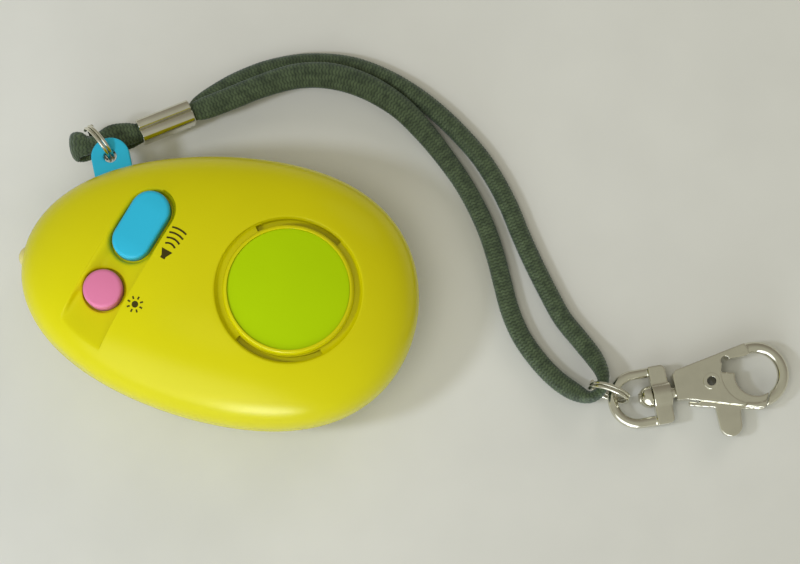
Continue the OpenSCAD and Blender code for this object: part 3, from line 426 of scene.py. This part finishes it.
def rear_shell_mesh():
    curves = []
    for e in EDGE_STEPS:
        curves.append(stadium_points(COVER_L + 2 * (FIT + e), COVER_W + 2 * (FIT + e), 48, 40))
        curves += [circle_at(at, SCREW_WELL_R + e * 0.8, 64) for at in SCREWS]
    places, inner = notch_lines()
    t = np.sort(np.concatenate([np.linspace(0, 2 * np.pi, 288, endpoint=False), places]))
    points = np.concatenate([dome_points(40), inner])
    near = np.abs(stadium_distance(points, COVER_L + 2 * FIT, COVER_W + 2 * FIT)) < 0.5
    for at in SCREWS:
        near |= np.abs(np.linalg.norm(points - at, axis=1) - SCREW_WELL_R) < 0.4
    p, z, faces = height_mesh(rear_z, curves, points[~near], egg(t))
    return roll_edge(p, z, [f[::-1] for f in faces], -1)


# Materials

def principled(name, colour, rough, metal=0.0):
    m = bpy.data.materials.new(name)
    m.use_nodes = True
    b = m.node_tree.nodes["Principled BSDF"]
    b.inputs["Base Color"].default_value = (*colour, 1)
    b.inputs["Roughness"].default_value = rough
    b.inputs["Metallic"].default_value = metal
    return m, m.node_tree, b


def noise(tree, scale, detail):
    coords = tree.nodes.new("ShaderNodeTexCoord")
    n = tree.nodes.new("ShaderNodeTexNoise")
    n.inputs["Scale"].default_value = scale
    n.inputs["Detail"].default_value = detail
    tree.links.new(coords.outputs["Object"], n.inputs["Vector"])
    return n.outputs["Fac"]


def two_tones(tree, fac, low, high, start=0.3, end=0.7):
    ramp = tree.nodes.new("ShaderNodeValToRGB")
    for element, colour, place in zip(ramp.color_ramp.elements, (low, high), (start, end)):
        element.color = (*colour, 1)
        element.position = place
    tree.links.new(fac, ramp.inputs["Fac"])
    return ramp.outputs["Color"]


def bump(tree, bsdf, height, strength, distance):
    b = tree.nodes.new("ShaderNodeBump")
    b.inputs["Strength"].default_value = strength
    b.inputs["Distance"].default_value = distance * MM
    tree.links.new(height, b.inputs["Height"])
    tree.links.new(b.outputs["Normal"], bsdf.inputs["Normal"])


def mottle(tree, bsdf, colour, spread, scale, rough, rough_spread, bump_scale, strength):
    # soft variation of colour and sheen, with a fine surface
    fac = noise(tree, scale, 3)
    low = [c * (1 - spread) for c in colour]
    high = [min(1, c * (1 + spread)) for c in colour]
    tree.links.new(two_tones(tree, fac, low, high), bsdf.inputs["Base Color"])
    sheen = tree.nodes.new("ShaderNodeMapRange")
    sheen.inputs["To Min"].default_value = rough - rough_spread
    sheen.inputs["To Max"].default_value = rough + rough_spread
    tree.links.new(fac, sheen.inputs["Value"])
    tree.links.new(sheen.outputs["Result"], bsdf.inputs["Roughness"])
    bump(tree, bsdf, noise(tree, bump_scale, 2), strength, 0.05)


def plastic(name, colour, rough=0.4, specular=0.25, strength=0.2, tint=(1, 1, 1)):
    # tint colours the reflection seen straight on; the one along the edges stays white
    m, tree, b = principled(name, colour, rough)
    b.inputs["Specular IOR Level"].default_value = specular
    b.inputs["Specular Tint"].default_value = (*tint, 1)
    mottle(tree, b, colour, 0.02, 60, rough, 0.03, 2600, strength)
    return m


def metal(name, colour, rough):
    m, tree, b = principled(name, colour, rough, 1.0)
    mottle(tree, b, colour, 0.05, 240, rough, 0.05, 1800, 0.12)
    return m


def clear_lamp():
    colour = (0.80, 0.72, 0.24)
    m, tree, b = principled("lamp_clear", colour, 0.14)
    b.inputs["Transmission Weight"].default_value = 0.35
    b.inputs["IOR"].default_value = 1.5
    mottle(tree, b, colour, 0.03, 300, 0.14, 0.03, 1500, 0.1)
    return m


def knit_yarn():
    m, tree, b = principled("knit_yarn", (0.05, 0.062, 0.03), 0.5)
    b.inputs["Sheen Weight"].default_value = 0.2
    b.inputs["Sheen Roughness"].default_value = 0.6
    b.inputs["Sheen Tint"].default_value = (0.7, 0.85, 0.95, 1)
    b.inputs["Specular IOR Level"].default_value = 0.3
    # painted shade: the colour darkens with the stitch height, from the yarn's tops down into the hollows
    # between stitches
    stitch_height_and_shade = tree.nodes.new("ShaderNodeAttribute")
    stitch_height_and_shade.attribute_name = "stitch_height_and_shade"
    colour = two_tones(tree, stitch_height_and_shade.outputs["Fac"], (0.014, 0.024, 0.008), (0.074, 0.104, 0.046), 0.1, 0.95)
    mix = tree.nodes.new("ShaderNodeMix")
    mix.data_type = "RGBA"
    mix.blend_type = "MULTIPLY"
    mix.inputs["Factor"].default_value = 0.85
    tree.links.new(colour, mix.inputs["A"])
    fibre = two_tones(tree, noise(tree, 700, 5), (0.42, 0.45, 0.38), (1, 1, 1), 0.35, 0.62)
    tree.links.new(fibre, mix.inputs["B"])
    tree.links.new(mix.outputs["Result"], b.inputs["Base Color"])
    bump(tree, b, noise(tree, 2400, 3), 0.5, 0.08)
    return m


YELLOW = plastic("yellow_plastic", (0.54, 0.50, 0.0), 0.25, 0.36, 0.15, (1, 0.97, 0.7))
GREEN = plastic("green_plastic", (0.36, 0.525, 0.001), 0.4, 0.25, 0.2, (0.8, 1, 0.3))
BLUE = plastic("blue_plastic", (0.022, 0.39, 0.56), 0.4, 0.3)
PINK = plastic("pink_plastic", (0.61, 0.172, 0.305), 0.4, 0.3)
NICKEL = metal("nickel_plate", (0.72, 0.70, 0.59), 0.13)
STEEL = metal("screw_steel", (0.55, 0.55, 0.55), 0.3)
BRASS = metal("spring_brass", (0.72, 0.56, 0.26), 0.3)
BLACK = plastic("inner_black", (0.02, 0.02, 0.022), 0.5)
BOARD = plastic("board_green", (0.012, 0.09, 0.035), 0.45)
TAN = plastic("plunger_tan", (0.45, 0.34, 0.18), 0.5)
CERAMIC = plastic("ceramic_white", (0.72, 0.70, 0.64), 0.6)
INK = plastic("brown_ink", (0.045, 0.035, 0.006), 0.6, 0.1)
LAMP = clear_lamp()
YARN = knit_yarn()

# Strap: the route points of the solids, each with its place, width and thickness

WRIST = np.array([
    [-16.4, 31, 5.6, 3.4, 1.3], [-14.2, 32.4, 5.2, 3.4, 1.3], [-12.1, 33.9, 4.8, 3.5, 1.4],
    [-10.6, 35.8, 4.4, 4.5, 1.7], [-8.2, 38.5, 3.9, 4.4, 2], [-4.4, 42, 3.2, 4.1, 2.5],
    [1, 45.6, 2.3, 3.8, 2.8], [8, 48.1, 1.6, 3.8, 2.8], [16.4, 48.7, 1.5, 3.8, 2.8],
    [25, 46.6, 1.5, 3.8, 2.8], [33.4, 42.4, 1.5, 3.8, 2.8], [41.4, 36.4, 1.5, 3.8, 2.8],
    [46.2, 31.4, 1.5, 3.8, 2.8], [50, 26.2, 1.5, 3.8, 2.8], [53.2, 20.8, 1.5, 3.8, 2.8],
    [56.4, 15.8, 1.5, 3.8, 2.8], [59.6, 11.2, 1.5, 3.8, 2.8], [63.2, 6.4, 1.6, 3.8, 2.8],
    [67, 2.8, 1.9, 3.8, 2.8], [70, -0.2, 2.6, 3.6, 3], [71.8, -2.8, 3.6, 2.8, 3.2],
    [72.3, -4.9, 4.1, 2.1, 3.1], [71.8, -6.8, 4.1, 2.1, 3.1], [70, -7.9, 3.6, 2.4, 3.1],
    [67.2, -7.1, 2.5, 3.6, 3], [63.6, -5.2, 1.8, 3.8, 2.8], [59.8, -2.2, 1.5, 3.8, 2.8],
    [56.2, 1.6, 1.5, 3.8, 2.8], [53.4, 6, 1.5, 3.8, 2.8], [51.2, 11, 1.5, 3.8, 2.8],
    [49.2, 15.8, 1.5, 3.8, 2.8], [46.8, 20.6, 1.5, 3.8, 2.8], [44, 25, 1.5, 3.8, 2.8],
    [40.6, 29.4, 1.5, 3.8, 2.8], [36.6, 33.6, 1.6, 4, 2.8], [32, 37.8, 2.1, 4.4, 2.6],
    [26.4, 41.8, 2.9, 4.8, 2.4], [19.6, 44.5, 3.7, 5.2, 2.2], [12.8, 45.3, 4.4, 5.4, 2.2],
    [6.4, 44.1, 5, 5.2, 2.2], [0.2, 41, 5.6, 4.8, 2], [-5.4, 37.4, 6.1, 4.7, 1.8],
    [-9.8, 34.7, 6.4, 4.5, 1.6], [-12, 33.7, 6.4, 3.6, 1.3], [-14.2, 32.4, 6.7, 3.4, 1.2],
    [-16.4, 31, 7.1, 3.4, 1.2]])
LOOP = np.array([
    [-16.8, 30.7, 7.2, 3.4, 1.3], [-18.9, 29.2, 7.4, 3.4, 1.3], [-20.9, 27.9, 7.8, 3.6, 1.4],
    [-22.8, 27, 8.6, 4.6, 1.8], [-25.3, 25.9, 9.4, 4.8, 2], [-27.7, 24.3, 9.7, 3.6, 2],
    [-29.5, 23.4, 9.5, 3.6, 2], [-31.3, 23.3, 9, 5.4, 2], [-32.3, 23.1, 7.7, 5.8, 2],
    [-31.3, 23.4, 6.3, 5.6, 2], [-29.6, 23.9, 5.8, 4.8, 2], [-27.7, 24.3, 5.6, 3.8, 2],
    [-25.3, 25.9, 5.6, 4.6, 2], [-22.8, 27, 5.8, 4.4, 1.8], [-20.9, 27.9, 6.2, 3.6, 1.4],
    [-18.9, 29.2, 5.8, 3.4, 1.3], [-16.8, 30.7, 5.6, 3.4, 1.3]])
LOOP_SIDE = (0.36, -0.93, 0)
KNIT_COLUMNS, KNIT_ROW, KNIT_LIFT, KNIT_SLIM = 12, 0.64, 0.14, 0.95
CORD_STEP, CORD_SIDES, ROUTE_STEPS, ROUTE_EVERY = 0.1, 60, 40, 20


def smooth(route, steps):
    r = np.concatenate([route[:1], route, route[-1:]])
    out = []
    for a, b, c, d in zip(r, r[1:], r[2:], r[3:]):
        for t in np.linspace(0, 1, steps, endpoint=False):
            out.append(0.5 * (2 * b + t * (c - a) + t ** 2 * (2 * a - 5 * b + 4 * c - d)
                              + t ** 3 * (3 * (b - c) + d - a)))
    return np.array(out + [route[-1]])


def even(path, gap):
    d = np.concatenate([[0], np.cumsum(np.linalg.norm(np.diff(path[:, :3], axis=0), axis=1))])
    s = np.linspace(0, d[-1], int(d[-1] / gap) + 1)
    return np.stack([np.interp(s, d, path[:, k]) for k in range(path.shape[1])], -1), s


def unit(v):
    return v / np.linalg.norm(v, axis=-1, keepdims=True)


def knit_cord():
    path, s = even(np.concatenate([smooth(WRIST, ROUTE_STEPS), smooth(LOOP, ROUTE_STEPS)]), CORD_STEP)
    in_loop = np.argmax(np.linalg.norm(path[:, :3] - LOOP[2, :3], axis=1) < 0.2)
    ahead = unit(np.gradient(path[:, :3], axis=0))
    side = np.cross((0, 0, 1), ahead)
    side[in_loop:] = LOOP_SIDE
    side = unit(side - (side * ahead).sum(1)[:, None] * ahead)
    up = np.cross(ahead, side)
    a = np.linspace(0, 2 * np.pi, CORD_SIDES, endpoint=False)
    # rows of stitches: each is a pair of slanting legs in its column
    column = a / (2 * np.pi) * KNIT_COLUMNS
    leg = np.abs(column % 1 - 0.5) * 2
    row = (s[:, None] / KNIT_ROW + 0.5 * leg) % 1
    # height of the yarn's surface: it raises the stitches, and through the material's colour it also paints
    # shade into the hollows between them
    stitch_height_and_shade = np.sin(np.pi * row) ** 0.7 * (1 - 0.25 * leg ** 4)
    lift = (stitch_height_and_shade - 0.7) * KNIT_LIFT
    ca, sa = np.cos(a), np.sin(a)
    across = (KNIT_SLIM * path[:, 3:4] / 2 + lift) * ca
    over = (path[:, 4:5] / 2 + lift) * sa
    pts = path[:, None, :3] + across[..., None] * side[:, None] + over[..., None] * up[:, None]
    pts[..., 2] = np.maximum(pts[..., 2], APART)
    verts, faces = tube(list(pts))
    ob = add_mesh("strap_knit", verts, faces, "strap", "strap_cord", YARN)
    at = ob.data.attributes.new("stitch_height_and_shade", "FLOAT", "POINT")
    at.data.foreach_set("value", stitch_height_and_shade.ravel().astype(np.float32))
    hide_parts("wrist_loop", "ring_loop")
    return ob, path[::ROUTE_EVERY, :3] * MM, s[-1] * MM


strap, strap_path, strap_length = knit_cord()

# Case, sounder cap and buttons

front = add_mesh("front_case", *front_shell_mesh(), "case", "shell_yellow", YELLOW, 50)
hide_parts("front_shell")
rear = add_mesh("rear_case", *rear_shell_mesh(), "case", "shell_yellow", YELLOW, 50)
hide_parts("rear_shell")


def button(name, along, length, width, slot, mat, node):
    # a stadium with a rounded edge and a slight crown, at its place along the channel
    centre, top = LIGHT + along * CH_DIR, float(floor_z(along)) + RISE - KEY_DROP
    shoulder, collar_top = top - KEY_EDGE, COLLAR_Z + COLLAR_T
    levels = [(-COLLAR_W, COLLAR_Z), (-COLLAR_W, collar_top), (0, collar_top), (0, shoulder)]
    for a in np.radians(np.linspace(12, 90, 8)):
        levels.append((KEY_EDGE * (1 - math.cos(a)), shoulder + KEY_EDGE * math.sin(a)))
    reach = width / 2 - INNERMOST
    for e in np.linspace(KEY_EDGE, reach, 7)[1:]:
        levels.append((e, top + KEY_CROWN * (1 - ((reach - e) / (reach - KEY_EDGE)) ** 2)))
    rings = []
    for inset, z in levels:
        outline = stadium_points(length - 2 * inset, width - 2 * inset, 40, 16)
        rings.append(np.column_stack([along_channel(outline, centre), np.full(len(outline), z)]))
    ob = add_mesh(name, *tube(rings), name, slot, mat, 60)
    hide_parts(node)


# a round button is a stadium that is hardly longer than it is wide
ROUND_LENGTH = LIGHT_D + 0.001
button("alarm_key", PITCH, ALARM_L, ALARM_W, "key_blue", BLUE, "alarm_button")
button("light_key", 0.0, ROUND_LENGTH, LIGHT_D, "key_pink", PINK, "light_button")


def sounder_cap():
    cap = (DISC_R ** 2 + DISC_CROWN ** 2) / (2 * DISC_CROWN)
    outer, low = SEAT_R - CAP_GAP, DISC_TOP - DISC_CROWN - CAP_EDGE
    profile = [(outer - 0.3, APART - DISC_SEAT), (outer, APART - DISC_SEAT), (outer, low)]
    for a in np.radians(np.linspace(15, 80, 6)):
        profile.append((outer - CAP_EDGE * (1 - math.cos(a)), low + CAP_EDGE * math.sin(a)))
    for r in np.linspace(outer - 0.12, INNERMOST, 26):
        profile.append((r, DISC_TOP - cap + math.sqrt(cap * cap - r * r)))
    rings = [np.column_stack([circle_at((0, 0), r, CAP_SIDES), np.full(CAP_SIDES, z)]) for r, z in profile]
    verts, faces = tube(rings)
    verts = verts @ np.array(Matrix.Rotation(LEAN, 3, "Y")).T + (SND_X, 0, SND_Z)
    ob = add_mesh("sounder_cap", verts, faces, "case", "disc_green", GREEN, 60)
    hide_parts("green_disc")


sounder_cap()

# Printed marks beside the buttons: sound waves for the alarm, a small sun for the light

MARK_Q, STROKE = -6.6, 0.34
RAY_IN, RAY_OUT, RAY_W = 0.95, 1.5, 0.3


def bend(centre, radius, start, end, width=STROKE):
    a = np.radians(np.linspace(start, end, 17))
    ray = np.stack([np.cos(a), np.sin(a)], -1)
    return centre + (radius - width / 2) * ray, centre + (radius + width / 2) * ray


def stroke(start, end, from_width, to_width):
    start, end = np.array(start, float), np.array(end, float)
    across = np.array([start[1] - end[1], end[0] - start[0]])
    across /= np.linalg.norm(across)
    t = np.linspace(0, 1, 7)[:, None]
    middle, half = start + t * (end - start), (from_width + t * (to_width - from_width)) / 2
    return middle - half * across, middle + half * across


def printed_mark(name, strips, s):
    verts, faces = [], []
    for low, high in strips:
        first, n = len(verts), len(low)
        verts += [tuple(p) for p in low] + [tuple(p) for p in high]
        faces += [(first + i, first + i + 1, first + n + i + 1, first + n + i) for i in range(n - 1)]
    p = along_channel(np.array(verts) + (s, MARK_Q))
    add_mesh(name, np.column_stack([p, dome(p) + APART]), faces, "case", "inner_black", INK)


waves = [bend((-1.9, 0), r, -reach, reach) for r, reach in ((1.5, 42), (2.5, 32), (3.5, 24), (4.5, 19))]
horn = [stroke((-3.4, 0), (-2.9, 0), 0.9, 0.9), stroke((-2.9, 0), (-1.7, 0), 0.9, 2.2)]
printed_mark("alarm_mark", horn + waves, PITCH)
rays = []
for angle in np.radians(np.arange(0, 360, 45)):
    ray = np.array([math.cos(angle), math.sin(angle)])
    rays.append(stroke(RAY_IN * ray, RAY_OUT * ray, RAY_W, RAY_W))
printed_mark("light_mark", [bend((0, 0), 0.3, 0, 360, 0.6)] + rays, 0.4)


# Split rings and crimp

def turned(verts, at, rx, ry, rz):
    turn = Matrix.Rotation(math.radians(rz), 3, "Z")
    turn = turn @ Matrix.Rotation(math.radians(ry), 3, "Y") @ Matrix.Rotation(math.radians(rx), 3, "X")
    return verts @ np.array(turn).T + at


def split_ring(name, at, angle, body, node):
    a = np.linspace(0, 4 * np.pi, RING_STEPS + 1)
    out = np.stack([np.cos(a), np.sin(a), 0 * a], -1)
    rings = []
    for k, o in zip(a / (2 * np.pi) - 1, out):
        b = np.linspace(0, 2 * np.pi, RING_SIDES, endpoint=False)[:, None]
        rings.append((RING_R + RING_WIRE / 2 * np.sin(b)) * o + np.cos(b) * (0, 0, RING_WIRE / 2)
                     + np.array([0, 0, RING_PITCH * k]))
    verts, faces = tube(rings)
    ob = add_mesh(name, turned(verts, at, 90 + RING_LEAN, 0, angle), faces, body, "plated_steel", NICKEL, 60)
    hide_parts(node)


split_ring("pin_ring_wire", PIN_RING_AT, PIN_RING_ANGLE, "strap", "pin_ring")
split_ring("hook_ring_wire", HOOK_RING_AT, HOOK_RING_ANGLE, "far_ring", "hook_ring")


def crimp_sleeve():
    half = CRIMP_W / 2 - CRIMP_ROLL
    x = CRIMP_W / 2 * np.cos(np.linspace(np.pi, 0, 61))
    lobe = np.sqrt(np.maximum(0, CRIMP_ROLL ** 2 - (np.abs(x) - half) ** 2))
    groove = CRIMP_GROOVE * np.exp(-(x / CRIMP_GROOVE_W) ** 2)
    top = np.column_stack([x, CRIMP_LOW - CRIMP_DROP + lobe - groove])
    low = np.column_stack([x, -CRIMP_LOW - np.where(np.abs(x) < half, CRIMP_ROLL, lobe)])[::-1]
    outline = np.concatenate([low, top])
    middle = outline.mean(0)
    far_edge = [(CRIMP_L - along, shrink) for along, shrink in reversed(CRIMP_EDGE)]
    rings = []
    for along, shrink in [*CRIMP_EDGE, *far_edge]:
        ring = middle + (outline - middle) * (1 - shrink)
        rings.append(np.column_stack([np.full(len(ring), along), ring]))
    verts, faces = tube(rings)
    ob = add_mesh("crimp_sleeve", turned(verts, CRIMP_AT, 0, CRIMP_DIP, CRIMP_TURN), faces, "strap",
                  "plated_steel", NICKEL, 40)
    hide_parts("cord_crimp")


crimp_sleeve()

# Finishes of the solids that show as they are, with the cast and moulded ones rounded at their edges

FINISH = {"shell_yellow": YELLOW, "disc_green": GREEN, "key_blue": BLUE, "key_pink": PINK,
          "lamp_clear": LAMP, "strap_cord": YARN, "plated_steel": NICKEL, "screw_steel": STEEL,
          "contact_metal": BRASS, "piezo_brass": BRASS, "ceramic_white": CERAMIC, "inner_black": BLACK,
          "board_green": BOARD, "plunger_tan": TAN}
for part in frame["record"]["subparts"]:
    paint(frame["nodes"][part["node"]], FINISH[part["material_slot"]])

# size of the even mesh and number of smoothing passes
ROUNDED = {"hook_body": (0.12, 8), "hook_lever": (0.12, 8), "swivel_eye": (0.13, 8), "swivel_pin": (0.1, 4),
           "lever_rivet": (0.06, 4), "pull_pin": (0.14, 6), "battery_cover": (0.18, 4)}
for name, (voxel, passes) in ROUNDED.items():
    remesh = frame["nodes"][name].modifiers.new("even_mesh", "REMESH")
    remesh.mode = "VOXEL"
    remesh.voxel_size = voxel * MM
    remesh.use_smooth_shade = True
    soften = frame["nodes"][name].modifiers.new("round_edges", "SMOOTH")
    soften.factor = 0.5
    soften.iterations = passes

# Camera at the photograph's angle

EYE, AIM = Vector((41.82, -53.64, 357.9)) * MM, Vector((32.25, 6.38, 13.22)) * MM
TURN = math.radians(9.06)
right = Vector((math.cos(TURN), math.sin(TURN), 0))
down = Vector((math.sin(TURN), -math.cos(TURN), 0))
look = (AIM - EYE).normalized()
up = right.cross(look).normalized()
level = look.cross(up).normalized()
cam_data = bpy.data.cameras.new("photo_camera")
cam = bpy.data.objects.new("photo_camera", cam_data)
scene.collection.objects.link(cam)
cam.matrix_world = Matrix.Translation(EYE) @ Matrix((level, up, -look)).transposed().to_4x4()
cam_data.sensor_width = 36
cam_data.lens = 86.15
cam_data.clip_start = 0.01
scene.camera = cam

# Table and light, in metres

HALF_TABLE = 2
corners = [(x * HALF_TABLE, y * HALF_TABLE, 0) for x, y in ((-1, -1), (1, -1), (1, 1), (-1, 1))]
floor_mesh = bpy.data.meshes.new("table")
floor_mesh.from_pydata(corners, [], [(0, 1, 2, 3)])
table = bpy.data.objects.new("table", floor_mesh)
scene.collection.objects.link(table)
paint(table, plastic("pale_table", (0.60, 0.60, 0.55), 0.6, 0.2, 0.1))


def lamp(name, around, toward, distance, size, energy, color):
    # a round lamp that lights the part but doesn't show in its shiny surfaces, which reflect the room
    data = bpy.data.lights.new(name, "AREA")
    data.shape = "DISK"
    data.size = size
    data.energy = energy
    data.color = color
    ob = bpy.data.objects.new(name, data)
    scene.collection.objects.link(ob)
    ob.location = around + toward.normalized() * distance
    ob.rotation_euler = (-toward).to_track_quat("-Z", "Y").to_euler()
    ob.visible_glossy = False


# daylight from the left, and a warm fill beside the camera and from the far right
DAYLIGHT, WARM = (0.94, 1.0, 1.18), (1.0, 0.95, 0.88)
MIDDLE = Vector((0.01, 0, 0))
from_left = -right * 0.944 + down * 0.33 + Vector((0, 0, 1.3))
from_far_right = right * 0.6 - down * 0.75 + Vector((0, 0, 0.45))
lamp("left_lamp", MIDDLE, from_left, distance=0.28, size=0.04, energy=0.24, color=DAYLIGHT)
lamp("camera_lamp", AIM, EYE - AIM - right * 0.07, distance=0.34, size=0.12, energy=0.205, color=WARM)
lamp("far_lamp", MIDDLE, from_far_right, distance=1, size=0.5, energy=2.3, color=WARM)

world = bpy.data.worlds.new("room")
scene.world = world
world.use_nodes = True
tree = world.node_tree
coords = tree.nodes.new("ShaderNodeTexCoord")


def facing(toward):
    # 1 where the room is seen in this direction, 0.5 to the side and 0 behind
    dot = tree.nodes.new("ShaderNodeVectorMath")
    dot.operation = "DOT_PRODUCT"
    dot.inputs[1].default_value = toward.normalized()
    tree.links.new(coords.outputs["Generated"], dot.inputs[0])
    half = tree.nodes.new("ShaderNodeMapRange")
    half.inputs["From Min"].default_value = -1
    tree.links.new(dot.outputs["Value"], half.inputs["Value"])
    return half.outputs["Result"]


def side_way(left_angle, height):
    # direction turned from the near side to the left, and raised, in degrees
    a, h = math.radians(left_angle), math.radians(height)
    return (down * math.cos(a) - right * math.sin(a)) * math.cos(h) + Vector((0, 0, math.sin(h)))


# walls, darker away from the window, and then the window and the bright sky low in it
DARK_WALL, PALE_WALL, WINDOW_TINT = (0.26, 0.24, 0.2), (0.45, 0.445, 0.375), (0.94, 1.0, 1.08)
room = two_tones(tree, facing(side_way(27, 3)), DARK_WALL, PALE_WALL, 0.1, 0.5)
for way, tone, start, end in ((side_way(25, 25), 1.6, 0.93, 0.965), (side_way(4, 6), 11.0, 0.986, 0.996)):
    glow = two_tones(tree, facing(way), (0, 0, 0), [tone * c for c in WINDOW_TINT], start, end)
    both = tree.nodes.new("ShaderNodeMix")
    both.data_type = "RGBA"
    both.blend_type = "ADD"
    both.inputs["Factor"].default_value = 1
    tree.links.new(room, both.inputs["A"])
    tree.links.new(glow, both.inputs["B"])
    room = both.outputs["Result"]
tree.links.new(room, tree.nodes["Background"].inputs["Color"])
scene.view_settings.view_transform = "Standard"
